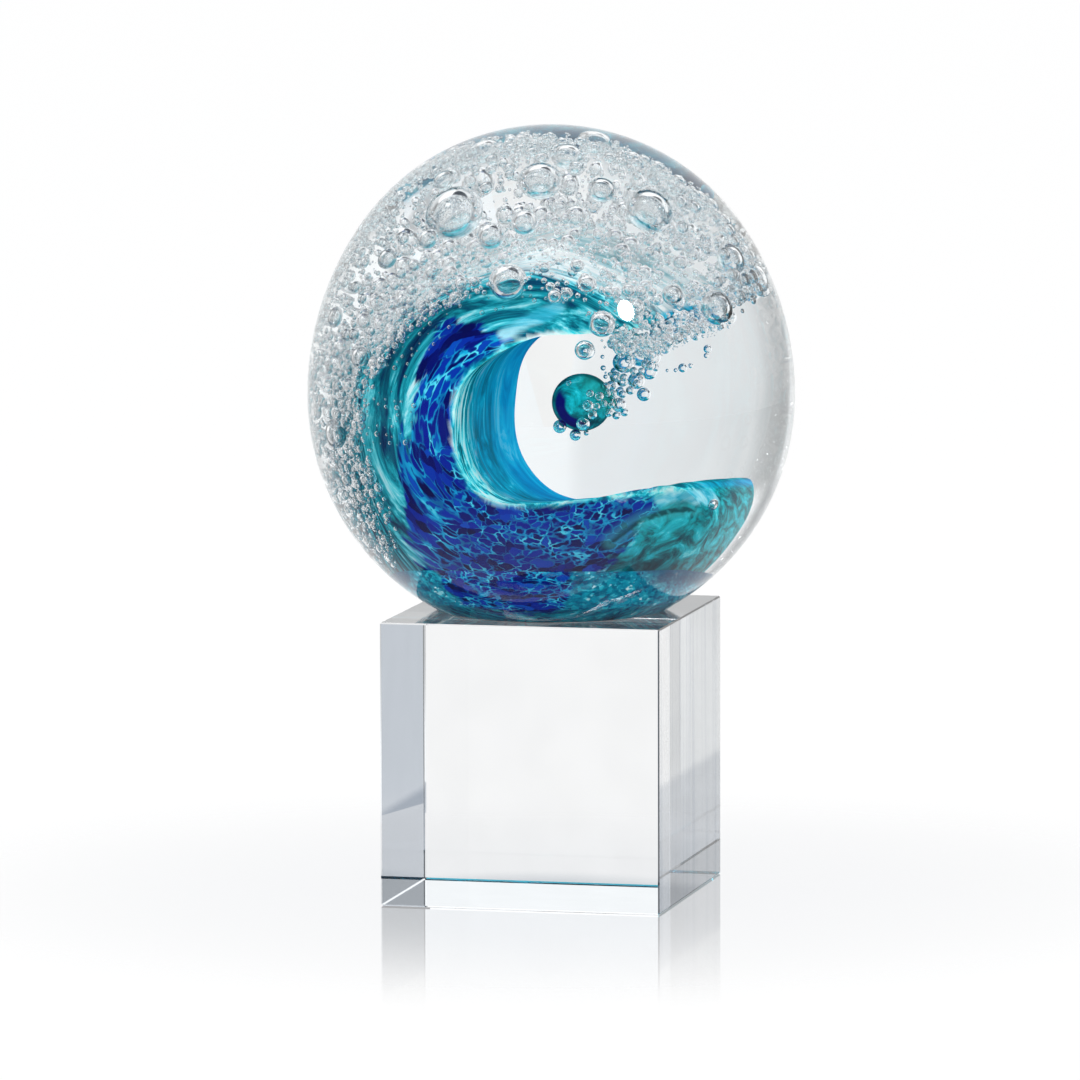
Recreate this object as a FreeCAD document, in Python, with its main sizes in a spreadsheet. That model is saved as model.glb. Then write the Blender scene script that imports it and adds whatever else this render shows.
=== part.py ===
"""Glass wave sculpture: a clear globe with a coloured wave inside, bonded to a crystal cube.

Millimetres, +Z up, +Y to the back, origin at the centre of the cube's underside. Every length is
in the spreadsheet. The wave's outlines are seen from the front, as shares of the core's radius:
X to the right and Z up from the middle of the globe. Where an outline has a front and a back, the
glass is drawn straight from one to the other, so the barrel narrows towards the back.
"""

import math
import os

import FreeCAD
import Part
import Sketcher

SIZES = {
    # crystal block that the globe stands on
    "cube_side": 60.0,
    "cube_height": 60.0,
    "cube_bevel": 0.3,
    # clear bond between the block and the ground foot
    "film_thick": 0.15,
    "film_inset": 0.5,
    # clear globe: round below its middle, a taller dome above it, ground flat underneath
    "globe_radius": 51.5,
    "crown_rise": 57.0,
    "foot_radius": 24.0,
    "foot_arris": 0.5,
    # coloured core inside the clear casing
    "casing_wall": 14.0,
    "wave_depth": 48.0,
    "foam_depth": 62.0,
    # disc of colour over the foot
    "pad_skin": 1.0,
    "pad_side_wall": 2.0,
    "pad_height": 14.0,
    "pad_rim_radius": 27.0,
    "pad_dish": 3.0,
    "pad_floor_radius": 9.0,
    # cobalt ribbon on the front of the wave: its thickness at the middle and the bow of its back
    "ribbon_thick": 7.5,
    "ribbon_bow_radius": 52.0,
    # ball at the tip of the curl and the spray that it hangs from
    "curl_radius": 4.7,
    "tail_root_radius": 4.2,
    "tail_tip_radius": 2.2,
    # how far a cutting shape runs past what it cuts
    "overrun": 4.0,
}

# Hollow of the wave: from beyond the crest, under it, down the barrel and out along the trough.
BARREL_SHARES = [
    (0.580, 0.400), (0.330, 0.362), (0.110, 0.345), (-0.105, 0.256), (-0.262, 0.122), (-0.307, -0.080),
    (-0.272, -0.293), (-0.160, -0.416), (0.053, -0.443), (0.320, -0.421), (0.587, -0.388),
]
# Swell: over the rolled lobe at the right and under it towards the foot.
SWELL_SHARES = [
    (0.587, -0.388), (0.645, -0.376), (0.700, -0.385), (0.760, -0.425), (0.805, -0.490), (0.822, -0.570),
    (0.805, -0.660), (0.755, -0.750), (0.675, -0.860), (0.560, -0.990), (0.420, -1.150),
]
# Back of the wave: from the bottom, up round the left side and over past the crest.
BACK_SHARES = [
    (-0.300, -1.100), (-0.450, -0.850), (-0.630, -0.600), (-0.745, -0.280), (-0.750, 0.040),
    (-0.600, 0.290), (-0.390, 0.480), (-0.190, 0.570), (-0.020, 0.615), (0.160, 0.575),
    (0.340, 0.490), (0.560, 0.330),
]
# How small the hollow and the back are behind, as shares of their size in front.
HOLLOW_DRAFT_SHARE = 0.83
BACK_DRAFT_SHARE = 0.94

# Cobalt ribbon: its outer edge from the crest to the foot, its right edge up the face of the swell,
# and its way back through the hollow, clear of the wave.
RIBBON_OUTER_SHARES = [
    (0.500, 0.360), (0.200, 0.445), (-0.080, 0.480), (-0.357, 0.365), (-0.490, 0.150),
    (-0.531, -0.150), (-0.560, -0.373), (-0.545, -0.600), (-0.450, -0.800), (-0.300, -1.100),
]
RIBBON_RIGHT_SHARES = [
    (0.200, -1.100), (0.260, -0.840), (0.400, -0.688), (0.500, -0.580), (0.565, -0.460), (0.620, -0.330),
]
RIBBON_HOLLOW_SHARES = [(0.620, -0.330), (0.180, -0.300), (-0.050, -0.050), (0.120, 0.240), (0.500, 0.360)]

# Joints inside the wave: crest to wall, wall to sea bed, and sea bed to swell.
CREST_JOINT_SHARES = [(0.050, 0.170), (-0.190, 0.340), (-0.500, 0.620)]
WALL_JOINT_SHARES = [(0.000, -0.280), (-0.250, -0.530), (-0.640, -0.800)]
SWELL_JOINT_SHARES = [(0.470, -0.250), (0.430, -0.500), (0.330, -0.680), (0.170, -0.880), (0.050, -1.150)]

# Foam: its lower edge on the left, how far it reaches in over the back of the wave, and its
# underside from the crest past the spray to the right.
FOAM_LEFT_SHARES = [(-1.300, -0.800), (-0.900, -0.770), (-0.560, -0.630)]
FOAM_GRIP_SHARE = 0.96
FOAM_UNDER_SHARES = [
    (0.370, 0.400), (0.410, 0.330), (0.470, 0.265), (0.560, 0.235), (0.660, 0.245), (0.770, 0.310),
    (0.880, 0.385), (1.300, 0.500),
]

# Way of the spray from the foam down to the ball, and the ball's centre: X and Z shares of the core's
# radius, and Y shares of the wave's half depth.
TAIL_PATH_SHARES = [
    (0.435, -0.390, 0.400), (0.428, -0.406, 0.270), (0.410, -0.414, 0.160), (0.368, -0.417, 0.070),
    (0.285, -0.417, 0.000),
]
CURL_CENTRE_SHARES = (0.194, -0.417, 0.003)

# Largest bubbles, close under the front of the foam, as X, Y, Z and radius shares: X and radius of
# the core's radius, Y of the foam's half depth, Z of the foam's height.
BUBBLE_SHARES = [
    (0.470, -0.099, 0.767, 0.110), (-0.011, -0.192, 0.874, 0.097), (-0.375, -0.277, 0.742, 0.131),
    (-0.174, -0.553, 0.703, 0.066), (-0.023, -0.506, 0.758, 0.063), (0.839, -0.235, 0.403, 0.089),
    (0.278, -0.209, 0.864, 0.065), (0.056, 0.079, 0.914, 0.071), (-0.310, 0.268, 0.839, 0.064),
    (0.776, 0.158, 0.553, 0.079),
]

GLOBE_Z = "(sizes.cube_height + sizes.film_thick + sqrt(sizes.globe_radius ^ 2 - sizes.foot_radius ^ 2))"
CORE_RADIUS = "(sizes.globe_radius - sizes.casing_wall)"
CORE_CROWN = "(sizes.crown_rise - sizes.casing_wall)"
FOAM_RADIUS = "((sizes.globe_radius + sizes.crown_rise) / 2 - sizes.casing_wall)"
PAD_Z = "(sizes.cube_height + sizes.film_thick + sizes.pad_skin)"

doc = FreeCAD.newDocument("glass_wave")
sheet = doc.addObject("Spreadsheet::Sheet", "sizes")


def fill_sheet():
    """Puts every driving length in its own named cell."""
    for row, (alias, number) in enumerate(SIZES.items(), start=1):
        sheet.set(f"A{row}", alias)
        sheet.set(f"B{row}", str(number))
        sheet.setAlias(f"B{row}", alias)
    doc.recompute()


def size(alias):
    """Driving length from its cell."""
    return float(sheet.get(alias))


def core_radius():
    """Radius of the coloured core, seen from the front."""
    return size("globe_radius") - size("casing_wall")


def globe_height():
    """Height of the globe's middle, where a sphere ground to the foot's radius comes to rest."""
    drop = (size("globe_radius") ** 2 - size("foot_radius") ** 2) ** 0.5
    return size("cube_height") + size("film_thick") + drop


def primitive(kind, name, bindings):
    """Part primitive whose properties follow the spreadsheet."""
    solid = doc.addObject(kind, name)
    for prop, expression in bindings.items():
        solid.setExpression(prop, expression)
    return solid


def boolean(kind, name, base, tool):
    """Boolean of two objects: Part::Cut, Part::Common or Part::Fuse."""
    result = doc.addObject(kind, name)
    result.Base = base
    result.Tool = tool
    return result


def fuse_all(name, shapes):
    """Union of several objects."""
    union = doc.addObject("Part::MultiFuse", name)
    union.Shapes = shapes
    return union


def core_points(shares, depth, scale=1):
    """Points at a depth along Y from shares of the core's radius."""
    radius = core_radius() * scale
    middle = globe_height()
    return [FreeCAD.Vector(x * radius, depth, middle + z * radius) for x, z in shares]


def draft(share, depth):
    """Scale of an outline at a depth, where it is whole at the wave's front and this share at its back."""
    return 1 - (1 - share) * (depth / size("wave_depth") + 1 / 2)


def corner_points(signs, depth):
    """Points well outside the globe, one for each pair of signs."""
    reach = size("crown_rise") + size("overrun")
    middle = globe_height()
    return [FreeCAD.Vector(x * reach, depth, middle + z * reach) for x, z in signs]


def run_edge(points):
    """Straight edge through two points, or a smooth curve through more."""
    if len(points) == 2:
        return Part.LineSegment(*points).toShape()
    curve = Part.BSplineCurve()
    curve.interpolate(points)
    return curve.toShape()


def outline(name, runs):
    """Closed outline from runs of points, closed by a straight edge where the last run stops short."""
    if not runs[-1][-1].isEqual(runs[0][0], size("cube_bevel")):
        runs = runs + [[runs[-1][-1], runs[0][0]]]
    feature = doc.addObject("Part::Feature", name)
    feature.Shape = Part.Wire([run_edge(run) for run in runs])
    return feature


def straight_runs(points):
    """Straight run for each step from one point to the next."""
    return [list(pair) for pair in zip(points, points[1:])]


def drawn_solid(name, sections):
    """Solid drawn straight from the first outline to the last."""
    loft = doc.addObject("Part::Loft", name)
    loft.Sections = sections
    loft.Solid = True
    loft.Ruled = True
    return loft


def drawn_block(name, draw_runs, front_depth, back_depth):
    """Block between the outlines that a function draws at two depths."""
    places = (("front", front_depth), ("back", back_depth))
    return drawn_solid(name, [outline(f"{name}_{place}", draw_runs(depth)) for place, depth in places])


def region(name, shares, signs):
    """Straight cutting block: an edge drawn in shares, closed by corners outside the globe."""
    def draw_runs(depth):
        edge = core_points(shares, depth)
        return [edge] + straight_runs([edge[-1]] + corner_points(signs, depth) + [edge[0]])

    depth = size("foam_depth") / 2 + size("overrun")
    return drawn_block(name, draw_runs, -depth, depth)


def add_sketch(body, name, role="XY_Plane"):
    """Sketch on one of a body's own origin planes."""
    sketch = body.newObject("Sketcher::SketchObject", name)
    plane = next(feature for feature in body.Origin.OriginFeatures if feature.Role == role)
    sketch.AttachmentSupport = [(plane, "")]
    sketch.MapMode = "FlatFace"
    return sketch


def bind(sketch, expression, *facts):
    """Adds a dimension to a sketch and ties it to the spreadsheet."""
    index = sketch.addConstraint(Sketcher.Constraint(*facts))
    sketch.setExpression(f"Constraints[{index}]", expression)


def add_pad(body, name, sketch, expression):
    """Pad of a sketch, as high as the expression says."""
    pad = body.newObject("PartDesign::Pad", name)
    pad.Profile = sketch
    pad.setExpression("Length", expression)
    doc.recompute()
    return pad


def make_crystal_cube():
    """Optical crystal block with a fine polished bevel along all twelve edges."""
    body = doc.addObject("PartDesign::Body", "crystal_cube")
    sketch = add_sketch(body, "cube_outline")
    side = size("cube_side")
    corners = [FreeCAD.Vector(x * side / 2, y * side / 2) for x, y in ((-1, -1), (1, -1), (1, 1), (-1, 1))]
    for start, end in zip(corners, corners[1:] + corners[:1]):
        sketch.addGeometry(Part.LineSegment(start, end), False)
    for line in range(4):
        sketch.addConstraint(Sketcher.Constraint("Coincident", line, 2, (line + 1) % 4, 1))
        direction = "Vertical" if line % 2 else "Horizontal"
        sketch.addConstraint(Sketcher.Constraint(direction, line))
    sketch.addConstraint(Sketcher.Constraint("Symmetric", 0, 1, 2, 1, -1, 1))
    bind(sketch, "sizes.cube_side", "DistanceX", 0, 1, 0, 2, side)
    bind(sketch, "sizes.cube_side", "DistanceY", 1, 1, 1, 2, side)
    block = add_pad(body, "cube_block", sketch, "sizes.cube_height")
    bevels = body.newObject("PartDesign::Chamfer", "cube_bevels")
    bevels.Base = (block, [f"Edge{index + 1}" for index in range(len(block.Shape.Edges))])
    bevels.setExpression("Size", "sizes.cube_bevel")
    body.Tip = bevels
    return body


def make_bond_film():
    """Disc of clear adhesive that joins the ground foot to the block."""
    body = doc.addObject("PartDesign::Body", "bond_film")
    sketch = add_sketch(body, "film_outline")
    radius = size("foot_radius") - size("foot_arris") - size("film_inset")
    sketch.addGeometry(Part.Circle(FreeCAD.Vector(), FreeCAD.Vector(0, 0, 1), radius), False)
    sketch.addConstraint(Sketcher.Constraint("Coincident", 0, 3, -1, 1))
    bind(sketch, "sizes.foot_radius - sizes.foot_arris - sizes.film_inset", "Radius", 0, radius)
    body.Tip = add_pad(body, "film_disc", sketch, "sizes.film_thick")
    body.setExpression("Placement.Base.z", "sizes.cube_height")
    return body


def oval(half_width, half_height):
    """Side radius, end radius and joint of the two arcs that make a quarter of an oval with no kink."""
    side = half_height ** 2 / half_width
    end = half_width * (half_width + half_height) / (2 * half_height)
    spread = 2 * half_height ** 2 + 2 * half_height * half_width + half_width ** 2
    joint_x = half_width - side + 2 * side * half_height * (half_width + half_height) / spread
    joint_y = half_height ** 2 * (2 * half_height + half_width) / spread
    return side, end, FreeCAD.Vector(joint_x, joint_y)


def add_arc(sketch, centre, start, end):
    """Arc of a circle in a sketch, anticlockwise about its centre."""
    circle = Part.Circle(centre, FreeCAD.Vector(0, 0, 1), centre.distanceToPoint(start))
    angles = [math.atan2(point.y - centre.y, point.x - centre.x) for point in (start, end)]
    return sketch.addGeometry(Part.ArcOfCircle(circle, *angles), False)


def constrain(sketch, *facts):
    """Adds a geometric constraint to a sketch."""
    sketch.addConstraint(Sketcher.Constraint(*facts))


def add_turning(body, sketch):
    """Turns a sketch about its own upright axis."""
    turning = body.newObject("PartDesign::Revolution", f"{body.Name}_turning")
    turning.Profile = sketch
    turning.ReferenceAxis = (sketch, ["V_Axis"])
    body.Tip = turning
    body.setExpression("Placement.Base.z", GLOBE_Z)


def make_globe_blank():
    """Solid globe turned in one piece: ground foot, fine arris, round bowl and its taller dome."""
    body = doc.addObject("PartDesign::Body", "globe_blank")
    sketch = add_sketch(body, "globe_profile", "XZ_Plane")
    radius, crown, arris = size("globe_radius"), size("crown_rise"), size("foot_arris")
    drop = (radius ** 2 - size("foot_radius") ** 2) ** 0.5
    side, end, joint = oval(radius, crown)
    middle = FreeCAD.Vector()
    top = FreeCAD.Vector(0, crown)
    brow = FreeCAD.Vector(radius, 0)
    foot_centre = FreeCAD.Vector(0, -drop)
    foot_edge = FreeCAD.Vector(size("foot_radius") - arris, -drop)
    bowl_edge = FreeCAD.Vector((radius ** 2 - (drop - arris) ** 2) ** 0.5, arris - drop)
    add_arc(sketch, FreeCAD.Vector(0, crown - end), joint, top)
    add_arc(sketch, FreeCAD.Vector(radius - side, 0), brow, joint)
    add_arc(sketch, middle, bowl_edge, brow)
    for start, finish in ((foot_edge, bowl_edge), (foot_centre, foot_edge), (top, foot_centre)):
        sketch.addGeometry(Part.LineSegment(start, finish), False)
    constrain(sketch, "Tangent", 0, 1, 1, 2)
    constrain(sketch, "PointOnObject", 0, 3, -2)
    constrain(sketch, "PointOnObject", 1, 3, -1)
    constrain(sketch, "PointOnObject", 1, 1, -1)
    constrain(sketch, "Coincident", 2, 3, -1, 1)
    for pair in ((1, 1, 2, 2), (2, 1, 3, 2), (3, 1, 4, 2), (4, 1, 5, 2), (5, 1, 0, 2)):
        constrain(sketch, "Coincident", *pair)
    constrain(sketch, "Horizontal", 4)
    constrain(sketch, "PointOnObject", 5, 1, -2)
    constrain(sketch, "PointOnObject", 5, 2, -2)
    bind(sketch, "sizes.globe_radius", "Radius", 2, radius)
    bind(sketch, "sizes.crown_rise ^ 2 / sizes.globe_radius", "Radius", 1, side)
    bind(sketch, "sizes.crown_rise", "DistanceY", -1, 1, 5, 1, crown)
    bind(sketch, "sqrt(sizes.globe_radius ^ 2 - sizes.foot_radius ^ 2)", "DistanceY", 4, 1, -1, 1, drop)
    bind(sketch, "sizes.foot_radius - sizes.foot_arris", "DistanceX", 4, 1, 4, 2, foot_edge.x)
    bind(sketch, "sizes.foot_arris", "DistanceY", 3, 1, 3, 2, arris)
    add_turning(body, sketch)
    return body


def make_gather(name, radius, radius_expression, depth_alias):
    """Lens-shaped gather of glass: round from the front, an oval from above, turned about its depth."""
    body = doc.addObject("PartDesign::Body", name)
    sketch = add_sketch(body, f"{name}_profile", "XY_Plane")
    half = size(depth_alias) / 2
    side, end, joint = oval(radius, half)
    back, front = FreeCAD.Vector(0, half), FreeCAD.Vector(0, -half)
    mirrored = FreeCAD.Vector(joint.x, -joint.y)
    add_arc(sketch, FreeCAD.Vector(0, half - end), joint, back)
    add_arc(sketch, FreeCAD.Vector(radius - side, 0), mirrored, joint)
    add_arc(sketch, FreeCAD.Vector(0, end - half), front, mirrored)
    sketch.addGeometry(Part.LineSegment(back, front), False)
    constrain(sketch, "Tangent", 0, 1, 1, 2)
    constrain(sketch, "Tangent", 2, 2, 1, 1)
    constrain(sketch, "Coincident", 0, 2, 3, 1)
    constrain(sketch, "Coincident", 2, 1, 3, 2)
    constrain(sketch, "PointOnObject", 0, 3, -2)
    constrain(sketch, "PointOnObject", 1, 3, -1)
    constrain(sketch, "Symmetric", 3, 1, 3, 2, -1, 1)
    constrain(sketch, "PointOnObject", 3, 1, -2)
    bind(sketch, f"sizes.{depth_alias}", "DistanceY", 3, 2, 3, 1, 2 * half)
    bind(sketch, f"sizes.{depth_alias} ^ 2 / (4 * {radius_expression})", "Radius", 1, side)
    rim_centre = f"{radius_expression} - sizes.{depth_alias} ^ 2 / (4 * {radius_expression})"
    bind(sketch, rim_centre, "DistanceX", -1, 1, 1, 3, radius - side)
    add_turning(body, sketch)
    return body


def make_foot_pad():
    """Colour disc over the foot: its side follows the globe, its top is a flat-floored dish for the wave."""
    bowl = primitive("Part::Sphere", "pad_bowl", {
        "Radius": "sizes.globe_radius - sizes.pad_side_wall",
        "Placement.Base.z": GLOBE_Z,
    })
    disc = primitive("Part::Cylinder", "pad_disc", {
        "Radius": "sizes.pad_rim_radius",
        "Height": "sizes.pad_height",
        "Placement.Base.z": PAD_Z,
    })
    dish = primitive("Part::Cone", "pad_dish", {
        "Radius1": "sizes.pad_floor_radius",
        "Radius2": "2 * sizes.pad_rim_radius - sizes.pad_floor_radius",
        "Height": "2 * sizes.pad_dish",
        "Placement.Base.z": f"{PAD_Z} + sizes.pad_height - sizes.pad_dish",
    })
    return boolean("Part::Cut", "foot_pad", boolean("Part::Common", "pad_form", bowl, disc), dish)


def draw_hollow(depth):
    """Outline of what is open in front of the wave: barrel, trough and the space beyond the swell."""
    scale = draft(HOLLOW_DRAFT_SHARE, depth)
    barrel = core_points(BARREL_SHARES, depth, scale)
    swell = core_points(SWELL_SHARES, depth, scale)
    return [barrel, swell] + straight_runs([swell[-1]] + corner_points([(1, -1), (1, 0)], depth) + [barrel[0]])


def draw_back(depth):
    """Outline of the side of the globe that the back of the wave bounds."""
    back = core_points(BACK_SHARES, depth, draft(BACK_DRAFT_SHARE, depth))
    return [back] + straight_runs([back[-1]] + corner_points([(1, 0), (1, -1)], depth) + [back[0]])


def make_wave_form():
    """Whole wave, from the crest round the barrel to the swell, drawn straight from front to back."""
    depth = size("wave_depth") / 2 + size("overrun")
    gather = make_gather("wave_gather", core_radius(), CORE_RADIUS, "wave_depth")
    backed = boolean("Part::Common", "backed_gather", gather, drawn_block("wave_back", draw_back, -depth, depth))
    return boolean("Part::Cut", "wave_form", backed, drawn_block("wave_hollow", draw_hollow, -depth, depth))


def draw_ribbon(depth):
    """Outline of the cobalt ribbon, closed through the hollow."""
    outer = core_points(RIBBON_OUTER_SHARES, depth)
    right = core_points(RIBBON_RIGHT_SHARES, depth)
    hollow = core_points(RIBBON_HOLLOW_SHARES, depth)
    return [outer, [outer[-1], right[0]], right] + straight_runs(hollow)


def make_ribbon_cutter():
    """Block that takes the cobalt ribbon off the front of the wave, bowed behind to follow the globe."""
    depth = size("wave_depth") / 2 + size("overrun")
    block = drawn_block("ribbon_block", draw_ribbon, -depth, depth)
    bow = primitive("Part::Cylinder", "ribbon_bow", {
        "Radius": "sizes.ribbon_bow_radius",
        "Height": "2 * sizes.globe_radius",
        "Placement.Base.x": "-sizes.globe_radius",
        "Placement.Base.y": "sizes.ribbon_thick + sizes.ribbon_bow_radius - sizes.wave_depth / 2",
        "Placement.Base.z": GLOBE_Z,
    })
    bow.Placement.Rotation = FreeCAD.Rotation(FreeCAD.Vector(0, 1, 0), 90)
    return boolean("Part::Cut", "ribbon_cutter", block, bow)


def split(wave, cutter, taken, left):
    """Divides the wave along a cutter into the piece inside it and the rest."""
    return boolean("Part::Common", taken, wave, cutter), boolean("Part::Cut", left, wave, cutter)


def make_wave_pieces(wave):
    """Cobalt ribbon, crest, wall, swell and sea bed, each taken in turn from what is left of the wave."""
    cobalt_sweep, body = split(wave, make_ribbon_cutter(), "cobalt_sweep", "wave_behind_ribbon")
    crest = region("crest_region", CREST_JOINT_SHARES, [(-1, 1), (1, 1), (1, 0)])
    crest_lip, body = split(body, crest, "crest_lip", "wave_below_crest")
    wall = region("wall_region", WALL_JOINT_SHARES, [(-1, -1), (-1, 1), (0, 1)])
    wave_wall, body = split(body, wall, "wave_wall", "wave_floor")
    swell = region("swell_region", SWELL_JOINT_SHARES, [(1, -1), (1, 0)])
    swell_lobe, sea_bed = split(body, swell, "swell_lobe", "sea_bed")
    return [cobalt_sweep, crest_lip, wave_wall, swell_lobe, sea_bed]


def make_curl_ball():
    """Ball at the tip of the curl."""
    x_share, y_share, z_share = CURL_CENTRE_SHARES
    return primitive("Part::Sphere", "curl_ball", {
        "Radius": "sizes.curl_radius",
        "Placement.Base.x": f"{x_share} * {CORE_RADIUS}",
        "Placement.Base.y": f"{y_share} * sizes.wave_depth / 2",
        "Placement.Base.z": f"{GLOBE_Z} + {z_share} * {CORE_RADIUS}",
    })


def make_tail_form():
    """Spray that tapers from the foam down to the ball, through a level round section at each point."""
    radius, half_depth, middle = core_radius(), size("wave_depth") / 2, globe_height()
    path = [FreeCAD.Vector(x * radius, y * half_depth, middle + z * radius) for x, y, z in TAIL_PATH_SHARES]
    sections = []
    for index, point in enumerate(path):
        down = index / (len(path) - 1)
        girth = size("tail_root_radius") * (1 - down) + size("tail_tip_radius") * down
        ring = doc.addObject("Part::Feature", f"tail_ring_{index + 1}")
        ring.Shape = Part.Wire([Part.makeCircle(girth, point)])
        sections.append(ring)
    return drawn_solid("tail_form", sections)


def draw_foam(depth):
    """Outline of the foam: it grips the back of the wave and hangs over the crest."""
    left = core_points(FOAM_LEFT_SHARES, depth)
    over = core_points(BACK_SHARES[3:-1], depth, FOAM_GRIP_SHARE * draft(BACK_DRAFT_SHARE, depth))
    under = core_points(FOAM_UNDER_SHARES, depth)
    corners = straight_runs([under[-1]] + corner_points([(1, 1), (-1, 1)], depth) + [left[0]])
    return [left, [left[-1], over[0]], over, [over[-1], under[0]], under] + corners


def make_foam_form():
    """Crescent of foam over the wave, inside its own deeper gather that reaches higher than the wave's."""
    crown = size("crown_rise") - size("casing_wall")
    gather = make_gather("foam_gather", (core_radius() + crown) / 2, FOAM_RADIUS, "foam_depth")
    gather.setExpression("Placement.Base.z", f"{GLOBE_Z} + {CORE_CROWN} - {FOAM_RADIUS}")
    depth = size("foam_depth") / 2 + size("overrun")
    return boolean("Part::Common", "foam_form", gather, drawn_block("foam_block", draw_foam, -depth, depth))


def make_bubbles():
    """Round voids of the largest bubbles."""
    bubbles = []
    for number, (x_share, y_share, z_share, radius_share) in enumerate(BUBBLE_SHARES, start=1):
        bubbles.append(primitive("Part::Sphere", f"bubble_{number}", {
            "Radius": f"{radius_share} * {CORE_RADIUS}",
            "Placement.Base.x": f"{x_share} * {CORE_RADIUS}",
            "Placement.Base.y": f"{y_share} * sizes.foam_depth / 2",
            "Placement.Base.z": f"{GLOBE_Z} + {z_share} * {CORE_CROWN}",
        }))
    return fuse_all("bubbles", bubbles)


def make_core():
    """Everything inside the clear casing, and the one shape that the casing is hollowed by."""
    foot_pad = make_foot_pad()
    gather = make_wave_form()
    wave = boolean("Part::Cut", "wave_on_pad", gather, foot_pad)
    curl_ball = make_curl_ball()
    tail = make_tail_form()
    foam = make_foam_form()
    whole = fuse_all("core_form", [foot_pad, gather, foam, tail, curl_ball])
    tail_below_crest = boolean("Part::Cut", "tail_below_crest", tail, gather)
    spray_tail = boolean("Part::Cut", "spray_tail", tail_below_crest, curl_ball)
    foam_over_wave = boolean("Part::Cut", "foam_over_wave", foam, gather)
    foam_beside_tail = boolean("Part::Cut", "foam_beside_tail", foam_over_wave, tail)
    foam_cap = boolean("Part::Cut", "foam_cap", foam_beside_tail, make_bubbles())
    return [foot_pad, *make_wave_pieces(wave), foam_cap, spray_tail, curl_ball], whole


def check(subparts):
    """Stops where any object failed or any sub-part isn't one sound solid."""
    for feature in doc.Objects:
        if "Invalid" in feature.State or "Error" in feature.State:
            raise RuntimeError(f"{feature.Name} failed: {feature.State}")
    for subpart in subparts:
        shape = subpart.Shape
        if shape.isNull() or not shape.isValid() or len(shape.Solids) != 1:
            raise RuntimeError(f"{subpart.Label} isn't one valid solid")


def main():
    """Builds the sculpture and writes each sub-part to its own file."""
    fill_sheet()
    core, whole = make_core()
    casing = boolean("Part::Cut", "globe_casing", make_globe_blank(), whole)
    subparts = [make_crystal_cube(), make_bond_film(), casing, *core]
    doc.recompute()
    check(subparts)
    os.makedirs("parts", exist_ok=True)
    for subpart in subparts:
        subpart.Shape.exportStep(f"parts/{subpart.Label}.step")


main()
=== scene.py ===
"""Glass wave sculpture: a clear globe over a crystal cube, with a coloured wave, foam and a curl inside.

Metres, +Z up, the front at -Y. The frame gives every piece its place. The lines of the wave and the tables
of bubbles are in millimetres about the globe's middle; every other length is in metres unless its note says
otherwise.
"""

import logging
import math
from dataclasses import dataclass, field
from enum import Enum
from typing import Any, Callable, Sequence

import bmesh
import bpy
import numpy as np
from bmesh.types import BMesh, BMVert
from bpy.types import Material, Mesh, Node, NodeSocket, NodeTree, Object
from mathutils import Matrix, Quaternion, Vector, noise


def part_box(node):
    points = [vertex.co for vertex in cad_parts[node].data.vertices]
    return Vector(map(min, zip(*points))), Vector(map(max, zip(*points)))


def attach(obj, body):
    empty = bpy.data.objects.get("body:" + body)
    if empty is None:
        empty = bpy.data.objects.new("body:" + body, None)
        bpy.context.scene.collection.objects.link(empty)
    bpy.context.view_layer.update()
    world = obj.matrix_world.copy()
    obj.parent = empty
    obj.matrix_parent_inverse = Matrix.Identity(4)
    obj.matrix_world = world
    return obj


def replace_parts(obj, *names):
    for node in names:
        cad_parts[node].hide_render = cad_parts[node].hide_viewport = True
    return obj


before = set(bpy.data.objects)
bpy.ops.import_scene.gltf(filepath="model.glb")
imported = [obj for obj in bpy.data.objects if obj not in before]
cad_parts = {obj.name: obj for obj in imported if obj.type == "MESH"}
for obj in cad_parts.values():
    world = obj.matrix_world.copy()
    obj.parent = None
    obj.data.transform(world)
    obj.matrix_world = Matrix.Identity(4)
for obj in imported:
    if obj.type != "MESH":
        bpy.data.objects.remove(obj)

LOG = logging.getLogger("glass_wave")
MM = 0.001
HALF_CUBE = 30.0 * MM
Colour = tuple[float, float, float]
Stops = tuple[tuple[float, Colour], ...]
Outline = tuple[tuple[float, float], ...]
Rule = Callable[[np.ndarray, np.ndarray], np.ndarray]


class Slot(str, Enum):
    """Material slots of the record, listed beside the wave's pieces."""

    CASING = "clear_casing"
    PAD = "reef_blue_glass"
    COBALT = "cobalt_glass"
    TEAL = "teal_glass"
    TURQUOISE = "turquoise_glass"
    FOAM = "foam_glass"


class Flow(str, Enum):
    """Attributes that a wave piece carries for its patterns."""

    PATH = "flow"
    BARREL = "barrel"
    DEPTH = "depth"
    RIBBON = "ribbon"
    ARCH = "arch"
    WINDOW = "window"
    VEIL = "veil"
    RIM = "rim"


# Shader and node helpers


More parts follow.
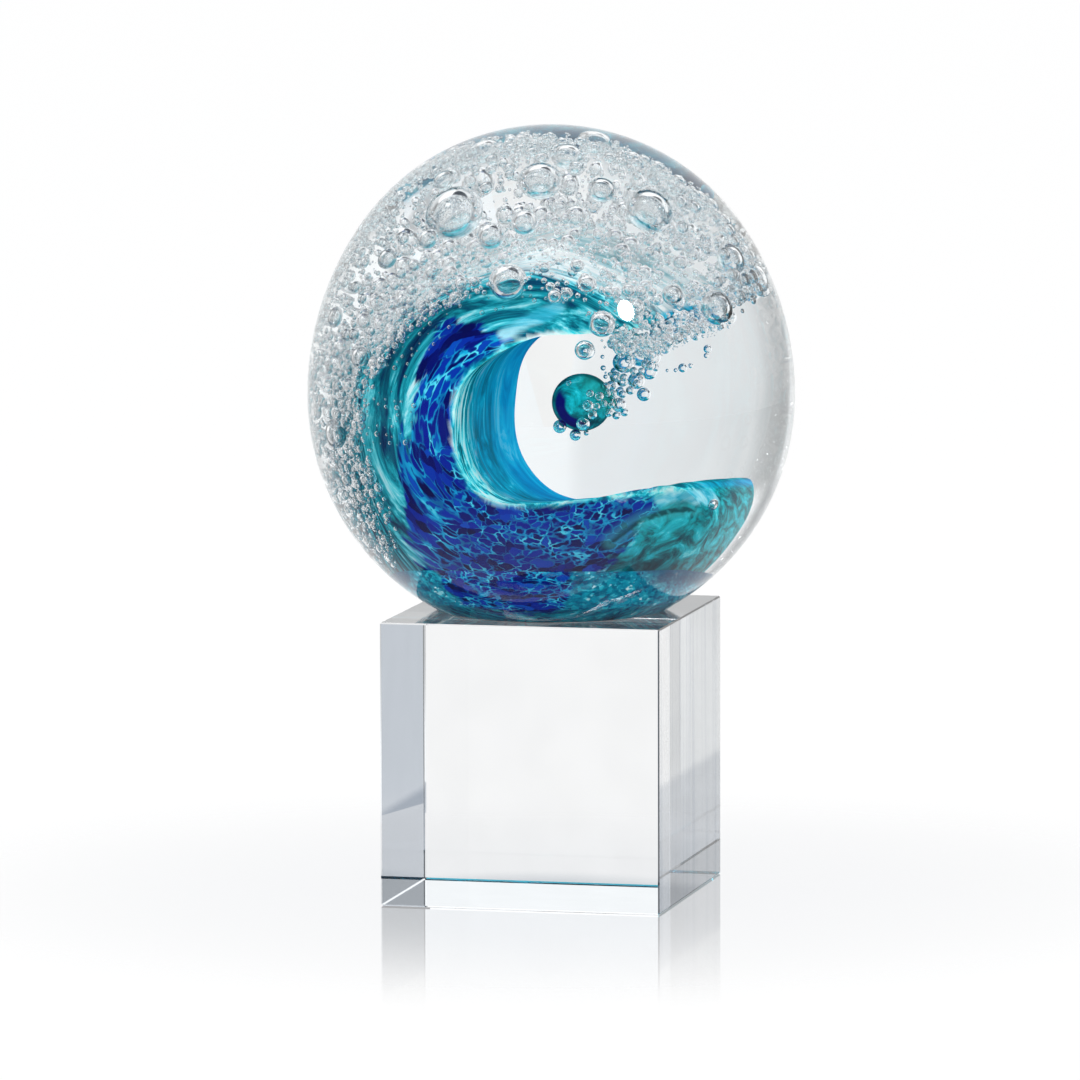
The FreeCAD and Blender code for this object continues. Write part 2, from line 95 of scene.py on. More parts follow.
class Nodes:
    """Short way to add and join the nodes of one tree."""

    def __init__(self, tree: NodeTree) -> None:
        """Starts with an empty tree.

        Args:
            tree: The tree to fill.
        """
        self.tree = tree
        tree.nodes.clear()

    def add(self, kind: str, inputs: dict[Any, Any] | None = None, **settings: Any) -> Node:
        """Adds a node.

        Args:
            kind: The node's type name.
            inputs: Value or output socket for each input, by name or number.
            settings: Properties of the node.

        Returns:
            The new node.
        """
        node = self.tree.nodes.new(kind)
        for name, value in settings.items():
            setattr(node, name, value)
        for key, value in (inputs or {}).items():
            if isinstance(value, NodeSocket):
                self.tree.links.new(value, node.inputs[key])
            else:
                node.inputs[key].default_value = value
        return node

    def math(self, operation: str, first: Any, second: Any = 0.0) -> NodeSocket:
        """Output of a Math node on two values or sockets."""
        return self.add("ShaderNodeMath", {0: first, 1: second}, operation=operation).outputs[0]

    def times(self, first: Any, second: Any) -> NodeSocket:
        """Product of two values or sockets."""
        return self.math("MULTIPLY", first, second)

    def vector(self, operation: str, first: Any, second: Any = None) -> NodeSocket:
        """Output of a Vector Math node.

        Args:
            operation: What it works out.
            first: Its first vector.
            second: Its second vector, or the number that it scales by.

        Returns:
            The vector, or the number for a length or a dot product.
        """
        inputs = {0: first}
        if second is not None:
            inputs["Scale" if operation == "SCALE" else 1] = second
        outputs = self.add("ShaderNodeVectorMath", inputs, operation=operation).outputs
        return outputs["Value" if operation in ("LENGTH", "DOT_PRODUCT") else "Vector"]

    def parts(self, vector: Any) -> Any:
        """Outputs X, Y and Z of a vector."""
        return self.add("ShaderNodeSeparateXYZ", {0: vector}).outputs

    def place(self) -> NodeSocket:
        """Place on the object, in metres."""
        return self.add("ShaderNodeTexCoord").outputs["Object"]

    def noise(self, vector: Any, scale: Any, detail: float, output: str = "Fac") -> NodeSocket:
        """Noise texture.

        Args:
            vector: Where it is read.
            scale: Waves to a unit of that vector.
            detail: How many finer waves are added.
            output: Name of the output.

        Returns:
            That output.
        """
        inputs = {"Vector": vector, "Scale": scale, "Detail": detail}
        return self.add("ShaderNodeTexNoise", inputs).outputs[output]

    def drifted(self, place: NodeSocket, scale: float, far: float) -> NodeSocket:
        """A place that wanders by a slow noise, so that a pattern on it isn't regular.

        Args:
            place: The place.
            scale: Waves of the noise to a unit.
            far: How far it wanders.

        Returns:
            The new place.
        """
        drift = self.vector("SCALE", self.noise(place, scale, 3.0, "Color"), far)
        return self.vector("ADD", place, drift)

    def draw(self, least: Any, most: Any, seed: Any) -> NodeSocket:
        """Random number for each point.

        Args:
            least: Least number.
            most: Largest number.
            seed: Seed of the draw.

        Returns:
            The number's socket.
        """
        inputs = {2: least, 3: most, "Seed": seed}
        return self.add("FunctionNodeRandomValue", inputs, data_type="FLOAT").outputs[1]

    def matt(self, colour: NodeSocket, roughness: float) -> None:
        """Finishes a material as colour glass in a clear casing, so with no gloss of its own.

        Args:
            colour: The glass's colour.
            roughness: How rough it is.
        """
        inputs = {"Base Color": colour, "Roughness": roughness, "Specular IOR Level": 0.0}
        self.surface(self.add("ShaderNodeBsdfPrincipled", inputs).outputs[0])

    def surface(self, shader: NodeSocket) -> None:
        """Joins a shader to the material's output."""
        self.add("ShaderNodeOutputMaterial", {"Surface": shader})

    def band(
        self, value: Any, low: Any, high: Any, start: float = 0.0, end: float = 1.0,
        kind: str = "SMOOTHSTEP",
    ) -> NodeSocket:
        """Step of a value between two limits.

        Args:
            value: The value.
            low: Limit at which the step starts.
            high: Limit at which it ends.
            start: Result at the first limit.
            end: Result at the second.
            kind: Form of the step between them.

        Returns:
            The result's socket.
        """
        inputs = {"Value": value, "From Min": low, "From Max": high, "To Min": start, "To Max": end}
        return self.add("ShaderNodeMapRange", inputs, interpolation_type=kind).outputs[0]

    def blend(self, share: Any, first: Any, second: Any) -> NodeSocket:
        """Mix of two colours.

        Args:
            share: Share of the second.
            first: A colour or a socket.
            second: The same.

        Returns:
            The mix's socket.
        """
        first, second = (rgba(c) if isinstance(c, tuple) else c for c in (first, second))
        inputs = {0: share, 6: first, 7: second}
        return self.add("ShaderNodeMix", inputs, data_type="RGBA").outputs[2]

    def ramp(self, value: Any, stops: Sequence[tuple[float, Colour]]) -> NodeSocket:
        """Colour ramp over a value.

        Args:
            value: The socket that drives it.
            stops: Place and colour of each stop.

        Returns:
            The colour output.
        """
        node = self.add("ShaderNodeValToRGB", {0: value})
        elements = node.color_ramp.elements
        for place, colour in stops[2:]:
            elements.new(place)
        for element, (place, colour) in zip(elements, stops):
            element.position = place
            element.color = rgba(colour)
        return node.outputs[0]

    def attribute(self, name: Flow, output: str) -> NodeSocket:
        """Output of an Attribute node."""
        return self.add("ShaderNodeAttribute", attribute_name=name.value).outputs[output]

    def scaled(self, vector: Any, scale: Sequence[float]) -> NodeSocket:
        """A vector scaled along each axis."""
        return self.add("ShaderNodeMapping", {"Vector": vector, "Scale": scale}).outputs[0]


def rgba(colour: Colour) -> tuple[float, float, float, float]:
    """Opaque colour with its alpha."""
    return (*colour, 1.0)


def from_hex(code: str) -> Colour:
    """Linear colour of a display colour.

    Args:
        code: Six hexadecimal digits.

    Returns:
        Linear red, green and blue.
    """
    parts = [int(code[start:start + 2], 16) / 255 for start in (0, 2, 4)]
    return tuple(p / 12.92 if p <= 0.04045 else ((p + 0.055) / 1.055) ** 2.4 for p in parts)


def new_material(name: str) -> tuple[Material, Nodes]:
    """Empty node material.

    Args:
        name: Its name.

    Returns:
        The material and its node helper.
    """
    material = bpy.data.materials.new(name)
    material.use_nodes = True
    return material, Nodes(material.node_tree)


@dataclass(frozen=True)
class ClearGlass:
    """Clear polished glass, or an air void in it.

    Attributes:
        name: The material's name.
        ior: Index of refraction against what is outside the surface.
        tint: Colour that the surface lets through.
    """

    name: str
    ior: float
    tint: Colour = (1.0, 1.0, 1.0)

    def shade(self, nodes: Nodes, place: NodeSocket) -> NodeSocket:
        """Colour that each place lets through: faint cords, where the melt isn't quite even."""
        cords = nodes.noise(place, 90.0, 1.0)
        return nodes.blend(nodes.band(cords, 0.3, 0.7), self.tint, tuple(c * 0.985 for c in self.tint))

    def make(self) -> Material:
        """Builds the material.

        Returns:
            The material.
        """
        material, nodes = new_material(self.name)
        place = nodes.place()
        inputs = {"Color": self.shade(nodes, place), "Roughness": 0.0, "IOR": self.ior}
        glass = nodes.add("ShaderNodeBsdfGlass", inputs)
        nodes.surface(glass.outputs[0])
        return material


@dataclass(frozen=True)
class Crystal(ClearGlass):
    """Optical crystal, ground and polished: a painted blue-green reflection in its lower bevels, painted shade
    on its upright bevel at the front right and low on its left side, and grey streaks up its right side.

    Attributes:
        half_side: Half the block's side, in metres.
        bevel: Width of its bevels, in metres.
        bevel_reflection_tint: Painted reflection: blue-green that the lower bevels behind and at the right let
            through.
        upright_shade_tint: Painted shade: dark colour that the upright bevel at the front right lets through.
        left_foot_shade_tint: Painted shade: grey that the left side shows towards its foot.
        left_foot_shade_fade: Heights between which that painted shade fades out, in metres.
        right_streak_tint: Colour of the grey streaks drawn up the right side.
        right_streak_share: Most of that colour.
    """

    half_side: float = HALF_CUBE
    bevel: float = 0.3 * MM
    bevel_reflection_tint: Colour = (0.05, 0.42, 0.55)
    upright_shade_tint: Colour = (0.16, 0.17, 0.19)
    left_foot_shade_tint: Colour = (0.64, 0.67, 0.71)
    left_foot_shade_fade: tuple[float, float] = (18.4 * MM, 21.0 * MM)
    right_streak_tint: Colour = (0.78, 0.80, 0.83)
    right_streak_share: float = 0.5

    def shade(self, nodes: Nodes, place: NodeSocket) -> NodeSocket:
        """Colour that each place lets through."""
        cords = super().shade(nodes, place)
        parts = nodes.parts(place)
        # Grey streaks drawn up the right side only.
        drawn = nodes.scaled(place, (1.0, 1.0, 0.02))
        right_streak_noise = nodes.noise(drawn, 420.0, 3.0)
        on_side = self.half_side - self.bevel / 4
        on_bevel = self.half_side - self.bevel * 0.97
        side = nodes.math("GREATER_THAN", parts["X"], on_side)
        right_streak_mask = nodes.times(side, nodes.band(right_streak_noise, 0.42, 0.68, 0.0, self.right_streak_share))
        shade = nodes.blend(right_streak_mask, cords, self.right_streak_tint)
        # Painted shade: the left side turns grey towards its foot.
        left = nodes.math("LESS_THAN", parts["X"], -on_side)
        foot = nodes.times(left, nodes.band(parts["Z"], *self.left_foot_shade_fade, 1.0, 0.0))
        shade = nodes.blend(foot, shade, self.left_foot_shade_tint)
        # Painted shade: the upright bevel at the front right is tinted dark.
        right = nodes.math("GREATER_THAN", parts["X"], on_bevel)
        front = nodes.math("LESS_THAN", parts["Y"], -on_bevel)
        shade = nodes.blend(nodes.times(right, front), shade, self.upright_shade_tint)
        # Painted reflection: the lower bevels behind and at the right take a blue-green tint for the wave
        # mirrored in them.
        low = nodes.math("LESS_THAN", parts["Z"], self.half_side - on_bevel)
        outer = nodes.math("GREATER_THAN", nodes.math("MAXIMUM", parts["X"], parts["Y"]), on_bevel)
        return nodes.blend(nodes.times(outer, low), shade, self.bevel_reflection_tint)


class Pattern:
    """Random pattern of colour glass, which follows the way that the glass was drawn."""

    def paint(self, nodes: Nodes, place: NodeSocket) -> NodeSocket:
        """Colour of the pattern.

        Args:
            nodes: The tree that it goes into.
            place: Flow coordinates in millimetres.

        Returns:
            The colour socket.
        """
        raise NotImplementedError


@dataclass(frozen=True)
class Frit(Pattern):
    """Mottled colour: cells of glass grains, stretched along the flow, with veins between them.

    Attributes:
        grains: Colours of the grains, over their random tone.
        halo: Colour of a grain's rim next to a vein.
        veins: Colours of the glass between the grains, over a slow change of tone.
        per_mm: Grains in a millimetre across the flow.
        vein_width: Half width of the widest veins against a grain.
    """

    grains: Stops
    halo: Colour
    veins: Stops
    per_mm: float
    vein_width: float

    def paint(self, nodes: Nodes, place: NodeSocket) -> NodeSocket:
        """Colour of the pattern."""
        moved = nodes.drifted(place, 0.4, 3.0)
        grid = {"Vector": moved, "Scale": self.per_mm}
        cells = nodes.add("ShaderNodeTexVoronoi", grid).outputs["Color"]
        gap = nodes.add("ShaderNodeTexVoronoi", grid, feature="DISTANCE_TO_EDGE").outputs["Distance"]
        tone = nodes.add("ShaderNodeSeparateColor", {0: cells}).outputs[0]
        patches = nodes.noise(place, 0.24, 4.0)
        width = nodes.band(patches, 0.34, 0.62, -0.035, self.vein_width)
        beyond = nodes.math("SUBTRACT", gap, width)
        near = nodes.band(beyond, 0.0, 0.16, 0.9, 0.0)
        halo = nodes.times(near, nodes.band(patches, 0.34, 0.56))
        vein = nodes.band(beyond, -0.02, 0.035, 1.0, 0.0)
        shift = nodes.noise(moved, 0.55, 2.0)
        body = nodes.blend(halo, nodes.ramp(tone, self.grains), self.halo)
        return nodes.blend(vein, body, nodes.ramp(nodes.band(shift, 0.3, 0.7), self.veins))


@dataclass(frozen=True)
class Streaks(Pattern):
    """Streaked colour: veils of glass drawn out along the flow.

    Attributes:
        stops: Colours over the streak's tone.
        per_mm: Streaks in a millimetre across the flow.
        along_share: Frequency along the flow against that across it.
        depth_share: Frequency along the globe's depth against that across the flow.
    """

    stops: Stops
    per_mm: float
    along_share: float
    depth_share: float = 1.0

    def paint(self, nodes: Nodes, place: NodeSocket) -> NodeSocket:
        """Colour of the pattern."""
        drawn = nodes.scaled(place, (self.along_share, 1.0, self.depth_share))
        inputs = {"Vector": drawn, "Scale": self.per_mm, "Detail": 6.0, "Roughness": 0.66}
        tone = nodes.add("ShaderNodeTexNoise", {**inputs, "Distortion": 0.8}).outputs["Fac"]
        return nodes.ramp(nodes.band(tone, 0.28, 0.72), self.stops)


@dataclass(frozen=True)
class Speckle(Pattern):
    """Crushed colour: small flat chips, a few of them bright, over slow light and dark.

    Attributes:
        chips: Colours over the chips' random tone.
        per_mm: Chips in a millimetre.
    """

    chips: Stops
    per_mm: float

    def paint(self, nodes: Nodes, place: NodeSocket) -> NodeSocket:
        """Colour of the pattern."""
        moved = nodes.drifted(place, 0.8, 1.6)
        chip = nodes.add("ShaderNodeTexVoronoi", {"Vector": moved, "Scale": self.per_mm}).outputs["Color"]
        tone = nodes.add("ShaderNodeSeparateColor", {0: chip}).outputs[1]
        slow = nodes.noise(place, 0.35, 4.0)
        lean = nodes.times(nodes.band(slow, 0.3, 0.7), 0.45)
        return nodes.ramp(nodes.math("ADD", nodes.times(tone, 0.55), lean), self.chips)


def stops(text: str) -> Stops:
    """Stops of a ramp.

    Args:
        text: Place in hundredths and display colour of each stop, one after the other.

    Returns:
        Places and linear colours.
    """
    words = text.split()
    return tuple((int(place) / 100, from_hex(code)) for place, code in zip(words[::2], words[1::2]))


COBALT = Frit(
    grains=stops("0 030545 30 040f66 62 061f98 86 0738b0 100 0850c2"),
    halo=from_hex("0648a4"),
    veins=stops("0 0764a4 40 0a8ac8 75 18b0de 100 58e2f6"),
    per_mm=0.82,
    vein_width=0.085,
)
TEAL_VEILS = Streaks(
    stops("0 021a4c 20 05486c 40 0a7086 52 1494a8 66 28b4c8 82 64dcea 100 d0f8ff"),
    per_mm=0.36, along_share=0.8,
)
BARREL_FRONT = Streaks(
    stops("0 04566a 20 07879a 36 0cb0c4 48 2ce0f0 60 86fbff 76 c4ffff 100 f4ffff"),
    per_mm=0.30, along_share=0.7,
)
BARREL_MIDDLE = Streaks(
    stops("0 03697c 20 0483a0 40 0596bd 56 06a6cc 72 08b6da 86 12cbe8 100 60ecfa"),
    per_mm=0.26, along_share=0.7,
)
BARREL_BACK = Streaks(
    stops("0 0285c3 30 0298d4 55 06abe2 80 18c4ee 100 6cdcf8"),
    per_mm=0.22, along_share=0.5,
)
SWELL_VEILS = Streaks(
    stops("0 02404e 20 056472 40 0a848e 52 0ca4ae 70 14bccc 86 28d4e2 100 7af0f8"),
    per_mm=0.30, along_share=0.7,
)
PALE_VEILS = Streaks(
    stops("0 1a9cba 30 3cc0de 60 78daf0 100 b8f0fc"),
    per_mm=0.30, along_share=0.5,
)
# Reef chips: the near-white top stop stands for pale chips and painted glints both.
CRUSHED = Speckle(
    stops("0 033458 20 065a84 40 087a9c 55 0c92b4 70 16aac4 85 40cce2 100 e4fdff"),
    per_mm=1.6,
)
FROTH = Speckle(
    stops("0 58a4b0 22 a4ccd4 42 dcebef 65 f8fcfd 100 ffffff"),
    per_mm=0.9,
)


@dataclass(frozen=True)
class WaveGlass:
    """Colour glass of the core: a ground, cobalt grains where the ribbon lies, and the barrel's own colour.

    Attributes:
        name: The material's name.
        ground: Pattern of the outer faces.
        ragged: How far the ribbon's edge wanders, in millimetres.
        rim: Colour of the disc's upper rim.
        arch_dark: Colour of the dark line of the swell's arch.
        arch_highlight: Colour of a painted highlight beside that line.
    """

    name: str
    ground: Pattern
    ragged: float = 5.0
    rim: Colour = from_hex("04406a")
    arch_dark: Colour = from_hex("033f49")
    arch_highlight: Colour = from_hex("4fd0d8")

    def make(self) -> Material:
        """Builds the material.

        Returns:
            The material.
        """
        material, nodes = new_material(self.name)
        place = nodes.attribute(Flow.PATH, "Vector")
        wander = nodes.times(nodes.math("SUBTRACT", nodes.noise(place, 0.42, 4.0), 0.5), self.ragged * 2)
        outer = self.outer(nodes, place, wander)
        colour = nodes.blend(nodes.attribute(Flow.BARREL, "Fac"), outer, self.inner(nodes, place))
        nodes.matt(colour, 0.35)
        return material

    def inner(self, nodes: Nodes, place: NodeSocket) -> NodeSocket:
        """Colour in the barrel, which changes from front to back.

        Args:
            nodes: The tree that it goes into.
            place: Flow coordinates in millimetres.

        Returns:
            The colour socket.
        """
        depth = nodes.attribute(Flow.DEPTH, "Fac")
        front, middle, back = (
            pattern.paint(nodes, place) for pattern in (BARREL_FRONT, BARREL_MIDDLE, BARREL_BACK)
        )
        colour = nodes.blend(nodes.band(depth, 0.22, 0.52), front, middle)
        return nodes.blend(nodes.band(depth, 0.62, 0.86), colour, back)

    def outer(self, nodes: Nodes, place: NodeSocket, wander: NodeSocket) -> NodeSocket:
        """Colour outside the barrel: the ground, all that is laid on it and a painted highlight beside the
        arch, each with a ragged edge.

        Args:
            nodes: The tree that it goes into.
            place: Flow coordinates in millimetres.
            wander: How far an edge strays at each place, in millimetres.

        Returns:
            The colour socket.
        """
        strays = ((Flow.RIBBON, 1.0), (Flow.WINDOW, 0.25), (Flow.ARCH, -0.08), (Flow.VEIL, 1.3))
        reach, window, gap, veil = (
            nodes.math("ADD", nodes.attribute(name, "Fac"), nodes.times(wander, share))
            for name, share in strays
        )
        colour = self.ground.paint(nodes, place)
        colour = nodes.blend(nodes.band(reach, -0.5, 0.7), colour, COBALT.paint(nodes, place))
        pale = PALE_VEILS.paint(nodes, place)
        colour = nodes.blend(nodes.band(window, 0.5, 1.7, 0.85, 0.0), colour, pale)
        # Painted highlight: a pale band beside the arch's dark line.
        colour = nodes.blend(nodes.band(gap, 0.4, 2.2, 0.35, 0.0), colour, self.arch_highlight)
        colour = nodes.blend(nodes.band(gap, 0.2, 0.7, 0.9, 0.0), colour, self.arch_dark)
        colour = nodes.blend(nodes.band(veil, -2.0, 3.5, 0.0, 0.93), colour, FROTH.paint(nodes, place))
        return nodes.blend(nodes.times(nodes.attribute(Flow.RIM, "Fac"), 0.88), colour, self.rim)


# Mesh helpers


def cad_mesh(node: str) -> BMesh:
    """Copy of a CAD node's mesh, welded where corners are less than half a micrometre apart.

    Args:
        node: The node's name.

    Returns:
        A closed mesh in metres.
    """
    mesh = bmesh.new()
    mesh.from_mesh(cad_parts[node].data)
    bmesh.ops.remove_doubles(mesh, verts=mesh.verts, dist=0.5e-6)
    return mesh


def shells(mesh: BMesh) -> list[list[BMVert]]:
    """Groups of a mesh's corners that hang together.

    Args:
        mesh: The mesh, whose corners are numbered anew.

    Returns:
        One list of corners for each group.
    """
    mesh.verts.index_update()
    seen: set[int] = set()
    groups = []
    for seed in mesh.verts:
        if seed.index in seen:
            continue
        group, todo = [], [seed]
        seen.add(seed.index)
        while todo:
            vert = todo.pop()
            group.append(vert)
            for edge in vert.link_edges:
                other = edge.other_vert(vert)
                if other.index not in seen:
                    seen.add(other.index)
                    todo.append(other)
        groups.append(group)
    return groups


def write_attribute(data: Mesh, name: Flow, values: np.ndarray) -> None:
    """Stores a number, or a row of three, for each corner of a mesh."""
    kind, key = ("FLOAT", "value") if values.ndim == 1 else ("FLOAT_VECTOR", "vector")
    layer = data.attributes.new(name.value, kind, "POINT")
    layer.data.foreach_set(key, values.astype(np.float32).ravel())


def corners_of(data: Mesh) -> np.ndarray:
    """Places of a mesh's corners, one row each."""
    points = np.empty(len(data.vertices) * 3)
    data.vertices.foreach_get("co", points)
    return points.reshape(-1, 3)


def refine(mesh: BMesh, longest: float, rounds: int = 6) -> None:
    """Splits the edges of a mesh until none is longer than a limit.

    Args:
        mesh: The mesh, changed in place.
        longest: Longest edge to leave, in metres.
        rounds: Most times that the edges are split.
    """
    for _ in range(rounds):
        long_edges = [edge for edge in mesh.edges if edge.calc_length() > longest]
        if not long_edges:
            return
        bmesh.ops.subdivide_edges(mesh, edges=long_edges, cuts=1, use_grid_fill=False)
        bmesh.ops.triangulate(mesh, faces=[face for face in mesh.faces if len(face.verts) > 3])


def soften(mesh: BMesh, crease: float) -> None:
    """Shades a mesh smooth, but for edges that turn by more than an angle.

    Args:
        mesh: The mesh, changed in place.
        crease: Angle of the edges that stay sharp, in radians.
    """
    for face in mesh.faces:
        face.smooth = True
    for edge in mesh.edges:
        edge.smooth = len(edge.link_faces) == 2 and edge.calc_face_angle(0.0) < crease


def new_piece(name: str, mesh: BMesh, material: Material) -> Object:
    """Object for a finished mesh, riding on the model's one body.

    Args:
        name: The piece's name.
        mesh: Its mesh, which is freed.
        material: Its material.

    Returns:
        The object.
    """
    data = bpy.data.meshes.new(name)
    mesh.to_mesh(data)
    mesh.free()
    return adopt(name, data, material)


def adopt(name: str, data: Mesh, material: Material) -> Object:
    """Object for mesh data, riding on the model's one body.

    Args:
        name: The piece's name.
        data: Its mesh.
        material: Its material.

    Returns:
        The piece.
    """
    data.materials.clear()
    data.materials.append(material)
    piece = bpy.data.objects.new(name, data)
    bpy.context.scene.collection.objects.link(piece)
    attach(piece, "root")
    LOG.info("%s: %d faces", name, len(data.polygons))
    return piece


# The object's own forms


@dataclass
class GlobeFrame:
    """Places and sizes that the pieces share, read from the frame.

    Attributes:
        centre: Middle of the globe, in metres.
        radius: The globe's radius, in metres.
        crown: How far its top is over its middle, in metres.
        foot_radius: Radius of that foot, in metres.
    """

    centre: Vector = field(init=False)
    radius: float = field(init=False)
    crown: float = field(init=False)
    foot_radius: float = 24.0 * MM

    def __post_init__(self) -> None:
        """Reads the casing's box."""
        low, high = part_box("globe_casing")
        self.radius = (high[0] - low[0]) / 2
        middle = low[2] + math.sqrt(self.radius ** 2 - self.foot_radius ** 2)
        self.centre = Vector((0.0, 0.0, middle))
        self.crown = high[2] - middle

    def about(self, points: np.ndarray) -> np.ndarray:
        """Places about the globe's middle.

        Args:
            points: Places in metres.

        Returns:
            The same places in millimetres about that middle.
        """
        return (points - np.array(self.centre)) / MM


@dataclass
class WaveFlow:
    """Way that the colour is drawn: from the crest's tip round the barrel to the swell's tip.

    Attributes:
        spine: Points of the way, X and Z in millimetres about the globe's middle, as for the lines below.
        barrel: Outline of the barrel in front.
        ribbon: Outline of the cobalt ribbon.
        arch: Dark line of the arch on the swell.
        windows: Middle lines of the pale windows on the crest and the swell.
        froth: Lower edge of the froth on the crest.
        froth_rise: How much higher that edge lies for each millimetre further back.
        ribbon_back: How far back the ribbon reaches, in millimetres.
        ribbon_bow: Twice the radius that this reach grows by above and below, in millimetres.
        crest_thinning: How far the ribbon's edge draws in towards the crest, in millimetres.
        crest_width: Width left of the middle over which it does, in millimetres.
        crest_foot: Height over which it does, in millimetres.
        barrel_draft: Size of the barrel's outline behind against in front.
        half_depth: Half the wave's depth in millimetres.
        drawn_out: How much the pattern is stretched along the way, over most of it.
        settled: The same near the swell.
        settling: Share of the way at which the one turns into the other, and the share that this takes.
        barrel_edge: Reach of the barrel's colour round its outline and of its fade, in millimetres.
        arch_end: Depth at which the arch's line starts to draw in, in millimetres, and how fast it does.
        froth_from: Depth at which the froth's edge starts to rise, in millimetres.
        window_back: How much further off the windows count behind the wave's middle, in millimetres.
        samples: Samples of each curve.
        batch: Points that are measured at a time.
    """

    spine: Outline = (
        (19.0, 13.0), (9.0, 17.0), (0.0, 18.0), (-9.0, 15.5), (-16.0, 10.0), (-20.0, 3.0),
        (-21.0, -4.0), (-20.0, -11.0), (-15.0, -17.5), (-7.0, -21.5), (3.0, -23.0), (13.0, -22.0),
        (22.0, -19.0), (32.0, -17.0),
    )
    barrel: Outline = (
        (21.8, 15.0), (12.4, 13.6), (4.1, 12.9), (-3.9, 9.6), (-9.8, 4.6), (-11.5, -3.0),
        (-10.2, -11.0), (-6.0, -15.6), (2.0, -16.6), (12.0, -15.8), (22.0, -15.4), (28.3, -14.8),
        (32.0, -16.0),
    )
    ribbon: Outline = (
        (18.8, 13.5), (7.5, 16.7), (-3.0, 18.0), (-13.4, 13.7), (-18.4, 5.6), (-19.9, -5.6),
        (-21.0, -14.0), (-20.4, -22.5), (-16.9, -30.0), (-11.3, -41.3), (7.5, -41.3), (9.8, -31.5),
        (15.0, -25.8), (18.8, -21.8), (21.2, -17.3), (23.3, -12.4),
    )
    arch: Outline = (
        (13.9, -23.4), (19.1, -20.1), (25.0, -18.3), (28.5, -19.1), (29.6, -21.2), (29.1, -23.6),
    )
    windows: tuple[Outline, ...] = (
        ((-2.9, 13.0), (1.7, 15.7), (6.0, 18.0)), ((22.8, -16.6), (26.0, -15.6), (28.6, -16.2)),
    )
    froth: Outline = (
        (-24.0, 12.0), (-19.0, 17.5), (-13.0, 22.0), (-5.0, 24.5), (3.0, 24.5), (10.0, 22.5), (17.0, 20.0),
        (24.0, 16.0), (32.0, 12.0),
    )
    froth_rise: float = 0.45
    ribbon_back: float = -16.5
    ribbon_bow: float = 104.0
    crest_thinning: float = 6.0
    crest_width: float = 12.0
    crest_foot: float = 4.0
    barrel_draft: float = 0.83
    half_depth: float = 24.0
    drawn_out: float = 4.2
    settled: float = 1.5
    settling: tuple[float, float] = (0.50, 0.16)
    barrel_edge: tuple[float, float] = (0.88, 0.55)
    arch_end: tuple[float, float] = (-11.0, 0.6)
    froth_from: float = -18.0
    window_back: float = 9.0
    samples: int = 600
    batch: int = 4000

    def curve(self, points: Sequence[tuple[float, float]]) -> np.ndarray:
        """Smooth curve through a list of points.

        Args:
            points: X and Z of each point.

        Returns:
            Evenly numbered samples, one row each.
        """
        knots = [Vector((x, z, 0.0)) for x, z in points]
        padded = [knots[0] * 2 - knots[1], *knots, knots[-1] * 2 - knots[-2]]
        rows = []
        each = self.samples // (len(knots) - 1)
        for index in range(len(knots) - 1):
            before, start, end, after = padded[index:index + 4]
            for step in range(each):
                share = step / each
                bend = (2 * before - 5 * start + 4 * end - after) * share ** 2
                twist = (3 * start - before - 3 * end + after) * share ** 3
                rows.append(0.5 * (2 * start + (end - before) * share + bend + twist))
        return np.array([(row.x, row.y) for row in rows])

    def nearest(self, flat: np.ndarray, curve: np.ndarray) -> tuple[np.ndarray, np.ndarray]:
        """Nearest sample of a curve to each point.

        Args:
            flat: Points, X and Z in millimetres.
            curve: The curve's samples.

        Returns:
            The samples' numbers and their distances.
        """
        numbers = np.empty(len(flat), dtype=int)
        gaps = np.empty(len(flat))
        for start in range(0, len(flat), self.batch):
            part = slice(start, start + self.batch)
            away = np.linalg.norm(flat[part, None, :] - curve[None, :, :], axis=2)
            numbers[part] = away.argmin(axis=1)
            gaps[part] = away.min(axis=1)
        return numbers, gaps

    def mark(self, data: Mesh, globe: GlobeFrame) -> None:
        """Writes the attributes that the patterns follow.

        Args:
            data: Mesh of a wave piece, in metres.
            globe: The shared places.
        """
        points = globe.about(corners_of(data))
        flat = points[:, [0, 2]]
        spine = self.curve(self.spine)
        steps = np.linalg.norm(np.diff(spine, axis=0, prepend=spine[:1]), axis=1)
        length = np.cumsum(steps)
        start, span = self.settling
        settle = np.clip((length / length[-1] - start) / span, 0, 1)
        stretch = self.drawn_out + (self.settled - self.drawn_out) * settle * settle * (3 - 2 * settle)
        paced = np.cumsum(steps / stretch)
        numbers, _ = self.nearest(flat, spine)
        tangent = np.gradient(spine, axis=0)
        tangent /= np.linalg.norm(tangent, axis=1)[:, None]
        gap = flat - spine[numbers]
        side = gap[:, 1] * tangent[numbers][:, 0] - gap[:, 0] * tangent[numbers][:, 1]
        flow = np.stack([paced[numbers], side, points[:, 1]], axis=1)
        depth = np.clip((points[:, 1] + self.half_depth) / (2 * self.half_depth), 0, 1)
        scale = 1 - (1 - self.barrel_draft) * depth
        _, gaps = self.nearest(flat / scale[:, None], self.curve(self.barrel))
        reach, fade = self.barrel_edge
        on_barrel = np.clip((reach - gaps * scale) / fade, 0, 1)
        write_attribute(data, Flow.PATH, flow)
        write_attribute(data, Flow.DEPTH, depth)
        write_attribute(data, Flow.BARREL, on_barrel)
        write_attribute(data, Flow.RIBBON, self.inside_ribbon(points))
        arch_from, drawing_in = self.arch_end
        arch = self.nearest(flat, self.curve(self.arch))[1]
        write_attribute(data, Flow.ARCH, arch + drawing_in * np.clip(points[:, 1] - arch_from, 0, None))
        froth = self.curve(self.froth)
        height = points[:, 2] - np.interp(points[:, 0], froth[:, 0], froth[:, 1])
